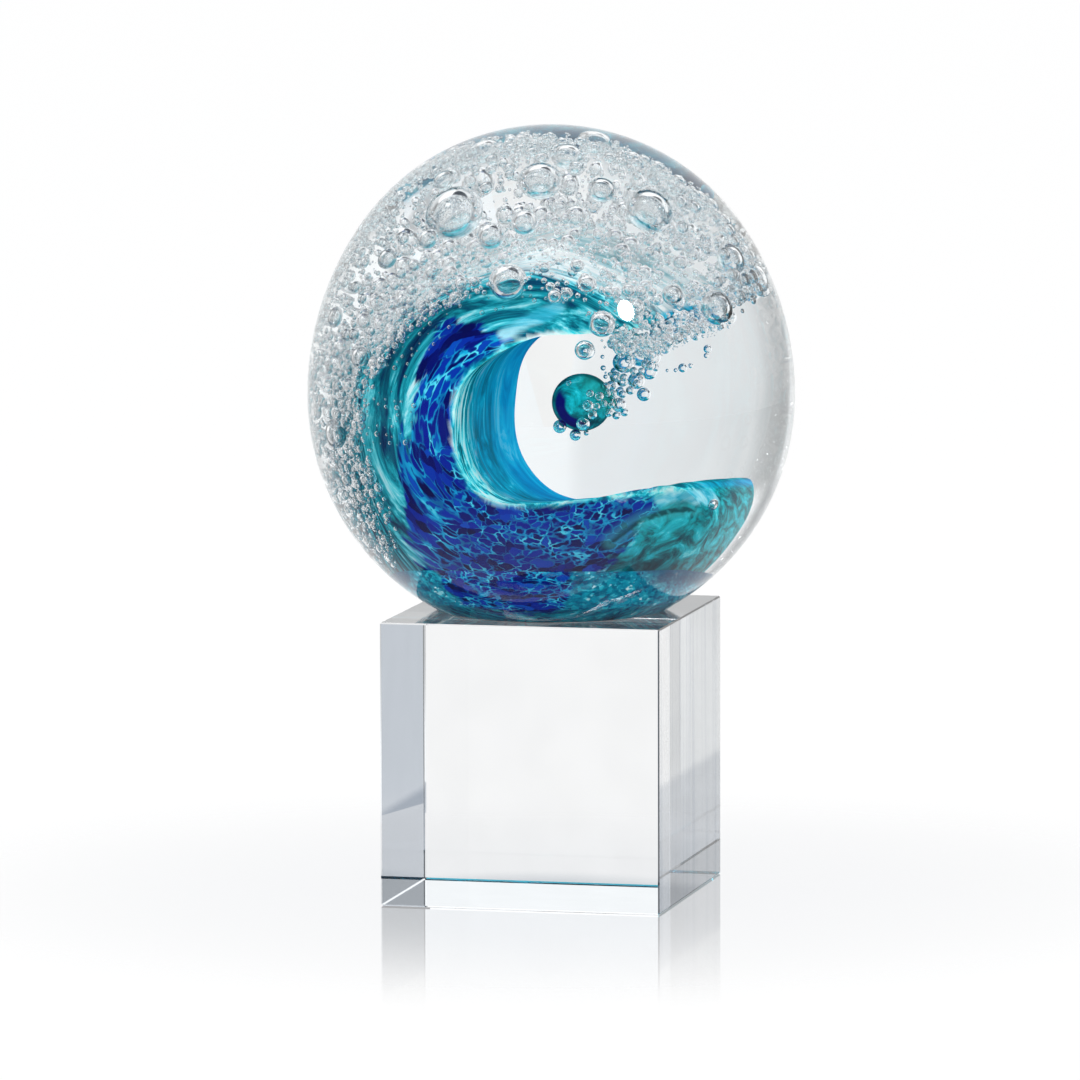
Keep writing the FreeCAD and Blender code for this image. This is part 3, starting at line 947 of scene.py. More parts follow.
        height += self.froth_rise * np.clip(points[:, 1] - self.froth_from, 0, None)
        write_attribute(data, Flow.VEIL, height)
        windows = [self.nearest(flat, self.curve(window))[1] for window in self.windows]
        write_attribute(data, Flow.WINDOW, np.minimum(*windows) + self.window_back * (points[:, 1] > 0))

    def inside_ribbon(self, points: np.ndarray) -> np.ndarray:
        """How far inside the cobalt ribbon's edge each point is, in millimetres.

        Args:
            points: Places about the globe's middle, in millimetres.

        Returns:
            Distances, negative outside the ribbon and where it has thinned out towards the crest.
        """
        edge = self.curve(self.ribbon)
        flat = points[:, [0, 2]]
        numbers, gaps = self.nearest(flat, edge)
        tangent = np.gradient(edge, axis=0)[numbers]
        away = flat - edge[numbers]
        side = np.sign(tangent[:, 0] * away[:, 1] - tangent[:, 1] * away[:, 0])
        x, y, z = points.T
        crest = np.clip(1 + x / self.crest_width, 0, 1) * (z > self.crest_foot)
        behind = np.clip(y - self.ribbon_back - z ** 2 / self.ribbon_bow, 0, None)
        return side * gaps - self.crest_thinning * crest - behind


@dataclass
class CrystalStand:
    """Crystal cube and the bond on it.

    Attributes:
        crystal: The cube's glass.
        bond: The cured adhesive.
    """

    crystal: ClearGlass = Crystal("optical crystal", 1.517, (0.99, 0.993, 0.994))
    bond: ClearGlass = ClearGlass("cured clear bond", 1.47, (0.98, 0.985, 0.98))

    def build(self) -> None:
        """Dresses the cube and the film, whose solids are right as they are."""
        for node, glass in (("crystal_cube", self.crystal), ("bond_film", self.bond)):
            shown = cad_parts[node]
            shown.data.materials.clear()
            shown.data.materials.append(glass.make())
            LOG.info("%s dressed", node)


@dataclass
class ClearGlobe:
    """Clear casing: a round bowl, a taller dome and a ground foot.

    Attributes:
        globe: The shared places.
        glass: Its glass.
        around: Faces round the globe.
        steps: Faces from the foot to the brow, and from there to the top.
        crease: Turn over which an edge is shown sharp, in radians.
    """

    globe: GlobeFrame
    glass: ClearGlass = ClearGlass("clear casing glass", 1.5, (0.985, 0.992, 0.99))
    around: int = 224
    steps: int = 72
    crease: float = math.radians(25)

    def dome(self) -> list[tuple[float, float]]:
        """Radius and height of points up the dome, on two arcs that meet with no kink."""
        width, height = self.globe.radius, self.globe.crown
        side = height ** 2 / width
        end = width * (width + height) / (2 * height)
        spread = 2 * height ** 2 + 2 * height * width + width ** 2
        joint_x = width - side + 2 * side * height * (width + height) / spread
        joint_y = height ** 2 * (2 * height + width) / spread
        low_turn = math.asin(joint_y / side)
        high_turn = math.asin(joint_x / end)
        half = self.steps // 2
        points = []
        for step in range(half):
            turn = low_turn * step / half
            points.append((width - side + side * math.cos(turn), side * math.sin(turn)))
        for step in range(half):
            turn = high_turn * (1 - step / half)
            points.append((end * math.sin(turn), height - end + end * math.cos(turn)))
        return points

    def bowl(self) -> list[tuple[float, float]]:
        """Radius and height of points up the bowl, from the rim of the foot."""
        radius = self.globe.radius
        rim = math.acos(self.globe.foot_radius / radius)
        turns = (-rim * (1 - step / self.steps) for step in range(self.steps))
        return [(radius * math.cos(turn), radius * math.sin(turn)) for turn in turns]

    def build(self) -> None:
        """Makes the globe's visible outer surface."""
        rings = self.bowl() + self.dome()
        centre = self.globe.centre
        mesh = bmesh.new()
        made = []
        for radius, height in rings:
            made.append([])
            for step in range(self.around):
                turn = math.tau * step / self.around
                spot = Vector((radius * math.cos(turn), radius * math.sin(turn), height))
                made[-1].append(mesh.verts.new(centre + spot))
        top = mesh.verts.new(centre + Vector((0, 0, self.globe.crown)))
        for lower, upper in zip(made, made[1:]):
            for index in range(self.around):
                after = (index + 1) % self.around
                mesh.faces.new((lower[index], lower[after], upper[after], upper[index]))
        for index in range(self.around):
            mesh.faces.new((made[-1][index], made[-1][(index + 1) % self.around], top))
        mesh.faces.new(list(reversed(made[0])))
        soften(mesh, self.crease)
        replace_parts(new_piece("clear_globe", mesh, self.glass.make()), "globe_casing")


@dataclass
class Wave:
    """The five coloured gathers of the wave and the disc of colour that it stands on.

    Attributes:
        globe: The shared places.
        flow: The way that the colour is drawn.
        longest: Longest edge of the finished meshes, in metres.
        sway: How far the glass wanders from its drawn form, in metres.
        sway_size: Size of that wandering, in metres.
        sway_shifts: Places in the noise that its three parts are read from, so that each run wanders alike.
        rim_width: Width of the rim's own colour, in metres.
        rim_fade: Width over which it fades out, in metres.
        rim_sides: Share of the disc's half width from which it shows, and the share over which it fades in.
        crease: Turn over which an edge is shown sharp, in radians.
    """

    globe: GlobeFrame
    flow: WaveFlow = field(default_factory=WaveFlow)
    longest: float = 1.4 * MM
    sway: float = 0.35 * MM
    sway_size: float = 9.0 * MM
    sway_shifts: tuple[tuple[float, float, float], ...] = (
        (3.7, 1.9, 8.3), (17.3, 5.1, 9.7), (4.9, 23.6, 12.2),
    )
    rim_width: float = 5.0 * MM
    rim_fade: float = 2.5 * MM
    rim_sides: tuple[float, float] = (0.78, 0.10)
    crease: float = math.radians(38)

    def warp(self, mesh: BMesh) -> None:
        """Lets the glass wander a little, alike in every piece so that they still meet."""
        shifts = [Vector(shift) for shift in self.sway_shifts]
        for vert in mesh.verts:
            place = vert.co / self.sway_size
            drift = Vector([noise.noise(place + shift) for shift in shifts])
            vert.co += drift * self.sway

    def upper_rim(self, data: Mesh, node: str) -> np.ndarray:
        """How near the upper rim of the disc of colour each corner of a piece is.

        Args:
            data: The piece's mesh.
            node: The CAD node that it stands for.

        Returns:
            Shares, all zero but for the disc.
        """
        points = corners_of(data)
        low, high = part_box("foot_pad")
        outward = np.hypot(points[:, 0], points[:, 1]) - (high[0] - low[0]) / 2 + self.rim_width
        upward = points[:, 2] - high[2] + self.rim_width
        start, span = self.rim_sides
        aside = np.clip((np.abs(points[:, 0]) / (high[0] - low[0]) * 2 - start) / span, 0, 1)
        near = np.clip(outward / self.rim_fade, 0, 1) * np.clip(upward / self.rim_fade, 0, 1) * aside
        return near * (node == "foot_pad")

    def build(self) -> None:
        """Makes the wave's pieces."""
        cobalt = WaveGlass("cobalt frit glass", TEAL_VEILS).make()
        teal = WaveGlass("teal streaked glass", TEAL_VEILS).make()
        swell = WaveGlass("turquoise swell glass", SWELL_VEILS).make()
        pad = WaveGlass("reef frit glass", CRUSHED, ragged=3.0).make()
        choices = (
            ("cobalt_sweep", cobalt, Slot.COBALT),
            ("wave_wall", teal, Slot.TEAL),
            ("crest_lip", teal, Slot.TEAL),
            ("sea_bed", teal, Slot.TURQUOISE),
            ("swell_lobe", swell, Slot.TURQUOISE),
            ("foot_pad", pad, Slot.PAD),
        )
        for node, material, slot in choices:
            mesh = cad_mesh(node)
            refine(mesh, self.longest)
            self.warp(mesh)
            soften(mesh, self.crease)
            piece = new_piece(f"{node}_glass", mesh, material)
            self.flow.mark(piece.data, self.globe)
            write_attribute(piece.data, Flow.RIM, self.upper_rim(piece.data, node))
            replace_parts(piece, node)


@dataclass(frozen=True)
class BubbleCrop:
    """One size of bubble that Geometry Nodes strew over a host surface.

    Attributes:
        name: Name of the piece.
        spacing: Least distance between bubbles, in metres.
        radii: Least and largest radius, in metres.
        inset: Least and largest depth under the surface, in metres.
        seed: Seed of the strewing.
        subdivisions: Subdivisions of each ball.
        clearing: Share of the surface that is left nearly clear of them.
        patch: Size of such clearings, in metres.
        skew: Power of the chance that picks a radius; more makes large ones rarer.
    """

    name: str
    spacing: float
    radii: tuple[float, float]
    inset: tuple[float, float]
    seed: int
    subdivisions: int = 1
    clearing: float = 0.0
    patch: float = 14.0 * MM
    skew: float = 2.2

    def inputs(self) -> dict[str, float | int]:
        """Values of the strewing tree's named inputs.

        Returns:
            The values by name; those that are whole numbers are counts.
        """
        return {
            "Spacing": self.spacing,
            "Least radius": self.radii[0],
            "Most radius": self.radii[1],
            "Least inset": self.inset[0],
            "Most inset": self.inset[1],
            "Clearing": self.clearing,
            "Patch": self.patch,
            "Skew": self.skew,
            "Seed": self.seed,
            "Subdivisions": self.subdivisions,
        }


# Width of the fade at the edge of a clearing, on both sides.
CLEARING_FADE = 0.08
# Most bubbles to a square metre, far over what their spacing leaves room for.
MOST_BUBBLES = 6.0e6


def bubble_tree(sample: BubbleCrop) -> NodeTree:
    """Geometry Nodes tree that strews round bubbles under a surface.

    Args:
        sample: Any size of bubble, for the names and kinds of the inputs.

    Returns:
        The tree, with named inputs for its sizes.
    """
    tree = bpy.data.node_groups.new("strewn bubbles", "GeometryNodeTree")
    face = tree.interface
    face.new_socket("Geometry", in_out="INPUT", socket_type="NodeSocketGeometry")
    for label, value in sample.inputs().items():
        kind = "NodeSocketInt" if isinstance(value, int) else "NodeSocketFloat"
        face.new_socket(label, in_out="INPUT", socket_type=kind)
    face.new_socket("Material", in_out="INPUT", socket_type="NodeSocketMaterial")
    face.new_socket("Geometry", in_out="OUTPUT", socket_type="NodeSocketGeometry")
    nodes = Nodes(tree)
    given = nodes.add("NodeGroupInput").outputs
    size = nodes.math("DIVIDE", 1.0, given["Patch"])
    patches = nodes.add("ShaderNodeTexNoise", {"Scale": size, "Detail": 3.0}).outputs["Fac"]
    low = nodes.math("SUBTRACT", given["Clearing"], CLEARING_FADE)
    high = nodes.math("ADD", given["Clearing"], CLEARING_FADE)
    points = nodes.add(
        "GeometryNodeDistributePointsOnFaces",
        {
            "Mesh": given["Geometry"], "Distance Min": given["Spacing"], "Density Max": MOST_BUBBLES,
            "Density Factor": nodes.band(patches, low, high), "Seed": given["Seed"],
        },
        distribute_method="POISSON",
    ).outputs
    depth = nodes.draw(given["Least inset"], given["Most inset"], given["Seed"])
    sunk = nodes.vector("SCALE", points["Normal"], nodes.times(depth, -1.0))
    placed = nodes.add("GeometryNodeSetPosition", {"Geometry": points["Points"], "Offset": sunk})
    chance = nodes.draw(0.0, 1.0, nodes.math("ADD", given["Seed"], 7.0))
    skewed = nodes.math("POWER", chance, given["Skew"])
    spread = nodes.math("SUBTRACT", given["Most radius"], given["Least radius"])
    radius = nodes.math("ADD", nodes.times(skewed, spread), given["Least radius"])
    ball = nodes.add("GeometryNodeMeshIcoSphere", {"Radius": 1.0, "Subdivisions": given["Subdivisions"]})
    inputs = {"Points": placed.outputs[0], "Instance": ball.outputs[0], "Scale": radius}
    balls = nodes.add("GeometryNodeInstanceOnPoints", inputs).outputs[0]
    solid = nodes.add("GeometryNodeRealizeInstances", {0: balls}).outputs[0]
    smooth = nodes.add("GeometryNodeSetShadeSmooth", {"Geometry": solid, "Shade Smooth": True}).outputs[0]
    glazing = {"Geometry": smooth, "Material": given["Material"]}
    glazed = nodes.add("GeometryNodeSetMaterial", glazing).outputs[0]
    nodes.add("NodeGroupOutput", {0: glazed})
    return tree


def strewn(crop: BubbleCrop, host: Object, tree: NodeTree, void: Material, rule: Rule) -> Object:
    """One piece of strewn bubbles.

    Args:
        crop: Their sizes.
        host: The object that they lie under the surface of.
        tree: The Geometry Nodes tree that strews them.
        void: Their material.
        rule: Takes the balls' middles and radii in metres, and returns a mask of those that stay.

    Returns:
        The piece, a plain mesh.
    """
    modifier = host.modifiers.new(crop.name, "NODES")
    modifier.node_group = tree
    given = {"Material": void, **crop.inputs()}
    for item in tree.interface.items_tree:
        if item.in_out == "INPUT" and item.name in given:
            modifier[item.identifier] = given[item.name]
    graph = bpy.context.evaluated_depsgraph_get()
    data = bpy.data.meshes.new_from_object(host.evaluated_get(graph))
    host.modifiers.remove(modifier)
    keep_balls(data, crop.subdivisions, rule)
    return adopt(crop.name, data, void)


def keep_balls(data: Mesh, subdivisions: int, rule: Rule) -> None:
    """Rebuilds a mesh of strewn balls with only those that a rule keeps.

    Args:
        data: The mesh, changed in place.
        subdivisions: Subdivisions of each ball.
        rule: The rule.
    """
    faces_each = 20 * 4 ** (subdivisions - 1)
    corners_each = faces_each // 2 + 2
    balls = corners_of(data).reshape(-1, corners_each, 3)
    middles = balls.mean(axis=1)
    radii = np.linalg.norm(balls[:, 0] - middles, axis=1)
    kept = balls[rule(middles, radii)]
    one = np.array([list(face.vertices) for face in data.polygons[:faces_each]])
    faces = (one[None] + corners_each * np.arange(len(kept))[:, None, None]).reshape(-1, 3)
    material = data.materials[0]
    data.clear_geometry()
    data.from_pydata(kept.reshape(-1, 3).tolist(), [], faces.tolist())
    data.materials.append(material)
    data.shade_smooth()


# Largest bubbles, close under the foam's front: X, Y, Z about the globe's middle and radius in millimetres.
LARGE_BUBBLES = (
    (17.6, -3.1, 33.0, 4.14), (-0.4, -6.0, 37.6, 3.65), (-14.1, -8.6, 31.9, 4.9), (-2.5, -21.9, 22.7, 3.4),
    (-6.5, -17.1, 30.2, 2.47), (-0.9, -15.7, 32.6, 2.38), (31.5, -7.3, 17.3, 3.35), (10.4, -6.5, 37.1, 2.46),
    (14.7, -23.0, 15.7, 2.45), (12.2, -25.7, 11.1, 1.81), (2.1, 2.4, 39.3, 2.67), (-11.6, 8.3, 36.1, 2.42),
    (-17.9, -14.5, 28.9, 1.9), (25.7, -14.9, 20.5, 2.0), (11.6, -21.7, 22.8, 1.83), (20.3, -20.1, 18.7, 1.67),
    (29.1, 4.9, 23.8, 2.95), (26.8, 15.4, 17.5, 2.6), (2.6, 14.9, 35.6, 2.4), (-25.1, -12.4, 24.8, 1.98),
    (-34.3, -8.0, 13.5, 1.93), (-29.0, -16.7, 7.7, 2.03), (-33.2, -9.9, -6.1, 2.45), (-16.8, -2.5, 36.0, 2.0),
)
# Beads on the ball, in the spray and loose under the foam.
LOOSE_BEADS = (
    (9.9, -14.7, 2.0, 0.69), (11.3, -14.2, 1.5, 0.80), (9.8, -15.6, -0.0, 0.99), (10.9, -14.4, -0.2, 0.65),
    (11.8, -13.3, 0.2, 0.65), (10.2, -14.5, -1.6, 0.83), (8.7, -14.7, -3.1, 1.13), (6.8, -12.3, -5.1, 0.91),
    (4.6, -13.6, -3.7, 1.07), (6.1, -13.8, 3.6, 0.50), (8.4, -11.6, -4.8, 0.43), (12.1, -12.2, 1.8, 0.58),
    (12.2, -12.0, -1.5, 0.70), (13.6, -10.8, -0.2, 1.21), (12.8, -11.1, 1.4, 0.59),
    (13.6, -8.0, -1.7, 0.67), (12.4, -8.5, -2.2, 0.66), (13.0, -12.9, 0.0, 0.55), (12.1, -5.6, 1.5, 0.78),
    (10.8, -5.9, 2.5, 0.81), (13.2, -7.7, 3.4, 0.89), (10.1, -6.6, 4.0, 0.37), (12.1, -5.9, 9.0, 1.14),
    (13.3, -7.1, 6.5, 1.81), (13.9, -1.1, 7.1, 2.00), (17.0, -4.1, 7.0, 1.41), (15.6, -2.0, 4.4, 1.28),
    (14.7, -5.3, 3.3, 1.39), (14.7, -8.3, 2.0, 0.72), (17.5, -8.5, 6.5, 0.78), (17.9, -5.1, 5.5, 0.60),
    (14.6, -11.2, 4.5, 0.67), (15.3, -3.7, 0.9, 1.12), (10.5, -3.1, 4.4, 0.72), (16.4, -11.4, 5.7, 0.67),
    (9.5, -6.2, 7.2, 0.33), (9.7, -6.5, 5.4, 0.44), (10.1, -6.5, 4.6, 0.21), (17.5, -0.1, 8.0, 0.90),
    (20.0, 0.8, 4.8, 0.73), (21.0, 1.6, 5.1, 0.40), (22.5, 4.8, 7.4, 0.70), (22.4, 4.4, 6.4, 0.42),
    (7.6, -8.7, 8.5, 1.49), (18.0, -0.6, 4.5, 0.28), (19.1, 0.1, 4.5, 0.34), (39.5, -0.6, 23.8, 1.49),
    (40.6, -0.1, 21.4, 1.17), (37.3, -2.2, 22.9, 1.33), (40.7, -4.9, 19.8, 0.92), (40.0, -10.0, 18.2, 0.49),
    (31.3, -9.0, -18.0, 1.10),
)


def leave_room(middles: np.ndarray, radii: np.ndarray, listed: np.ndarray) -> np.ndarray:
    """Mask of the balls that neither touch a listed bubble nor stand in front of it.

    Args:
        middles: Middles of the strewn balls, in metres.
        radii: Their radii, in metres.
        listed: Middle and radius of each listed bubble, one row each, in metres.

    Returns:
        True for each ball that stays.
    """
    clear = np.ones(len(middles), dtype=bool)
    for row in listed:
        away = middles - row[:3]
        touching = np.linalg.norm(away, axis=1) < row[3] + radii
        beside = np.hypot(away[:, 0], away[:, 2]) < 0.9 * row[3]
        clear &= ~(touching | (beside & (away[:, 1] < 0)))
    return clear


@dataclass
class Foam:
    """Bubbles of the foam, from the largest to the finest.

    Attributes:
        globe: The shared places.
        void: Look of the air in the glass.
        crops: Sizes of bubble that are strewn under the foam's surface.
        crest_crop: Bubbles that rest on the front of the wave along the foam.
        spray_crop: Bubbles of the spray.
        crest_gap: Least distance of the crest's bubbles from the barrel's outline, in millimetres.
        crest_foot: Least height of them about the globe's middle, in millimetres.
        clear_brow: Middle of the clearest part of the foam, in millimetres about the globe's middle.
        brow_share: Share of the bubbles that stays there.
        brow_fade: Distance from there at which more of them stay and the width of that fade, in millimetres.
        side_share: Share of the bubbles that stays at the foam's foot.
        side_fade: Height of that foot about the globe's middle and of the fade over it, in millimetres.
        seed: Seed of the thinning.
    """

    globe: GlobeFrame
    void: ClearGlass = ClearGlass("air void", 1 / 1.5, (0.993, 0.998, 1.0))
    crops: tuple[BubbleCrop, ...] = (
        BubbleCrop("middling_bubbles", 2.2 * MM, (0.40 * MM, 1.35 * MM), (1.4 * MM, 3.0 * MM), 11, 2, 0.30),
        BubbleCrop("small_bubbles", 1.45 * MM, (0.20 * MM, 0.68 * MM), (0.6 * MM, 3.2 * MM), 3, 1, 0.44),
        BubbleCrop(
            "fine_bubbles", 1.12 * MM, (0.10 * MM, 0.32 * MM), (0.4 * MM, 3.0 * MM), 19, 1, 0.50, 10.0 * MM
        ),
        BubbleCrop("inner_bubbles", 7.0 * MM, (0.30 * MM, 1.1 * MM), (4.0 * MM, 8.0 * MM), 23, 2, 0.45),
    )
    crest_crop: BubbleCrop = BubbleCrop(
        "crest_bubbles", 1.15 * MM, (0.14 * MM, 0.62 * MM), (-1.5 * MM, -0.5 * MM), 29, 2, 0.46, 6.0 * MM, 3.0
    )
    spray_crop: BubbleCrop = BubbleCrop(
        "spray_bubbles", 1.5 * MM, (0.3 * MM, 1.1 * MM), (-0.2 * MM, 1.4 * MM), 5, 2, skew=1.4
    )
    crest_gap: float = 5.0
    crest_foot: float = -20.0
    clear_brow: tuple[float, float, float] = (4.0, -12.0, 31.0)
    brow_share: float = 0.22
    brow_fade: tuple[float, float] = (6.0, 22.0)
    side_share: float = 0.25
    side_fade: tuple[float, float] = (-30.0, 26.0)
    seed: int = 41

    def host(self, name: str, nodes: Sequence[str]) -> Object:
        """Outer surface of some solids, which strewn bubbles are placed by.

        Args:
            name: The host's name.
            nodes: Names of the CAD nodes.

        Returns:
            An object that is removed once the bubbles are made.
        """
        whole = bmesh.new()
        for node in nodes:
            mesh = cad_mesh(node)
            outer = max(shells(mesh), key=len)
            keep = {vert.index for vert in outer}
            inner = [vert for vert in mesh.verts if vert.index not in keep]
            bmesh.ops.delete(mesh, geom=inner, context="VERTS")
            data = bpy.data.meshes.new(name)
            mesh.to_mesh(data)
            mesh.free()
            whole.from_mesh(data)
            bpy.data.meshes.remove(data)
        data = bpy.data.meshes.new(name)
        whole.to_mesh(data)
        whole.free()
        host = bpy.data.objects.new(name, data)
        bpy.context.scene.collection.objects.link(host)
        return host

    def balls(self, name: str, table: np.ndarray, void: Material) -> Object:
        """One piece for a list of balls.

        Args:
            name: The piece's name.
            table: Middle and radius of each ball, one row each, in metres.
            void: The material.

        Returns:
            The piece.
        """
        mesh = bmesh.new()
        for x, y, z, radius in table:
            made = bmesh.ops.create_icosphere(mesh, subdivisions=4, radius=radius)
            bmesh.ops.translate(mesh, verts=made["verts"], vec=(x, y, z))
        soften(mesh, math.pi)
        return new_piece(name, mesh, void)

    def listed(self, table: Sequence[tuple[float, ...]]) -> np.ndarray:
        """Rows of a table of balls, in metres.

        Args:
            table: X, Y, Z about the globe's middle and radius of each, in millimetres.

        Returns:
            Middle and radius of each.
        """
        rows = np.array(table) * MM
        rows[:, :3] += np.array(self.globe.centre)
        return rows

    def thinned(self, middles: np.ndarray) -> np.ndarray:
        """Mask that thins the bubbles out at the clear brow of the foam and down its left side.

        The fringe low at the back of the right end stays free of them, and so does the front of the foot,
        inward of the foam's left edge.

        Args:
            middles: Middles of the balls, in metres.

        Returns:
            True for each ball that stays, by a chance that is the same each time.
        """
        about = self.globe.about(middles)
        x, y, z = about.T
        away = np.linalg.norm(about - np.array(self.clear_brow), axis=1)
        start, width = self.brow_fade
        brow = np.clip((away - start) / width, 0, 1) * (1 - self.brow_share) + self.brow_share
        foot, height = self.side_fade
        side = np.clip((z - foot) / height, self.side_share, 1)
        chance = np.random.default_rng(self.seed).random(len(middles))
        fringe = (1.5 * x + y > 46.0) & (z < 0.5 * x + 0.08 * y + 0.5)
        inward = (z < -8.0) & (y < 0.0) & (x > -26.0 - 0.25 * (z + 8.0))
        return (chance < brow * side) & ~fringe & ~inward

    def roomy(self, middles: np.ndarray, radii: np.ndarray) -> np.ndarray:
        """Mask of the strewn balls that stay: thinned, and clear of the listed bubbles.

        Args:
            middles: Middles of the balls, in metres.
            radii: Their radii, in metres.

        Returns:
            True for each ball that stays.
        """
        listed = np.concatenate([self.listed(LARGE_BUBBLES), self.listed(LOOSE_BEADS)])
        return leave_room(middles, radii, listed) & self.thinned(middles)

    def above_crest(self, middles: np.ndarray, radii: np.ndarray) -> np.ndarray:
        """Mask of those that also keep away from the barrel and the foot of the wave.

        Args:
            middles: Middles of the balls, in metres.
            radii: Their radii, in metres.

        Returns:
            True for each ball that stays.
        """
        flat = self.globe.about(middles)[:, [0, 2]]
        flow = WaveFlow()
        gaps = flow.nearest(flat, flow.curve(flow.barrel))[1]
        return self.roomy(middles, radii) & (gaps > self.crest_gap) & (flat[:, 1] > self.crest_foot)

    def build(self) -> None:
        """Makes the foam, the beads and the spray."""
        void = self.void.make()
        tree = bubble_tree(self.spray_crop)
        large, loose = self.listed(LARGE_BUBBLES), self.listed(LOOSE_BEADS)
        host = self.host("foam host", ["foam_cap"])
        pieces = [strewn(crop, host, tree, void, self.roomy) for crop in self.crops]
        crest = self.host("crest host", ["crest_lip", "wave_wall"])
        pieces.append(strewn(self.crest_crop, crest, tree, void, self.above_crest))
        pieces.append(self.balls("large_bubbles", large, void))
        for piece in pieces:
            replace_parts(piece, "foam_cap")
        spray = self.host("spray host", ["spray_tail"])
        mist = strewn(self.spray_crop, spray, tree, void, self.roomy)
        for piece in (mist, self.balls("loose_beads", loose, void)):
            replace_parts(piece, "spray_tail")
        for used in (host, crest, spray):
            bpy.data.objects.remove(used)


@dataclass
class Curl:
    """Ball at the tip of the curl.

    Attributes:
        right: Direction to the right as the photograph sees the ball.
        crescent_toward: Side that its navy crescent is on, to the right and up.
        crescent: Colour of that crescent.
        lit: Colour that shines through on the other side.
        edge: Colour of the painted shade at the ball's edge.
    """

    right: tuple[float, float, float] = (0.973, 0.231, 0.0)
    crescent_toward: tuple[float, float] = (-0.80, -0.60)
    crescent: Colour = from_hex("08126e")
    lit: Colour = from_hex("2fb9b0")
    edge: Colour = from_hex("04505e")

    def glass(self, centre: Vector, radius: float) -> Material:
        """Teal glass with a navy crescent at its lower left and painted shade at its edge.

        Args:
            centre: The ball's middle, in metres.
            radius: Its radius, in metres.

        Returns:
            The material.
        """
        material, nodes = new_material("curl ball glass")
        place = nodes.place()
        away = nodes.vector("SUBTRACT", place, centre)
        across = nodes.math("DIVIDE", nodes.vector("DOT_PRODUCT", away, self.right), radius)
        upward = nodes.math("DIVIDE", nodes.parts(away)["Z"], radius)
        flat = nodes.add("ShaderNodeCombineXYZ", {"X": across, "Y": upward}).outputs[0]
        rim = nodes.vector("LENGTH", flat)
        lean = nodes.vector("DOT_PRODUCT", flat, (*self.crescent_toward, 0.0))
        ring = nodes.times(nodes.band(rim, 0.48, 0.60), nodes.band(rim, 0.84, 0.93, 1.0, 0.0))
        crescent = nodes.times(ring, nodes.band(lean, 0.10, 0.42))
        colour = SWELL_VEILS.paint(nodes, nodes.scaled(place, (1 / MM, 1 / MM, 1 / MM)))
        colour = nodes.blend(nodes.band(lean, -0.1, -0.7, 0.0, 0.45), colour, self.lit)
        # Painted shade: the ball darkens towards its edge.
        colour = nodes.blend(nodes.band(rim, 0.90, 1.0, 0.0, 0.7), colour, self.edge)
        colour = nodes.blend(crescent, colour, self.crescent)
        nodes.matt(colour, 0.3)
        return material

    def build(self) -> None:
        """Makes the ball."""
        low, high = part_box("curl_ball")
        centre = (Vector(low) + Vector(high)) / 2
        radius = (high[0] - low[0]) / 2
        mesh = bmesh.new()
        bmesh.ops.create_icosphere(mesh, subdivisions=5, radius=radius)
        bmesh.ops.translate(mesh, verts=mesh.verts, vec=centre)
        soften(mesh, math.pi)
        piece = new_piece("curl_ball_glass", mesh, self.glass(centre, radius))
        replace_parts(piece, "curl_ball")


# Camera, floor and light


def toward(azimuth: float, elevation: float) -> Vector:
    """Way from the object to a place round it.

    Args:
        azimuth: Degrees from the front towards +X.
        elevation: Degrees above the horizon.

    Returns:
        The way, one long.
    """
    turn, rise = math.radians(azimuth), math.radians(elevation)
    return Vector((math.sin(turn) * math.cos(rise), -math.cos(turn) * math.cos(rise), math.sin(rise)))


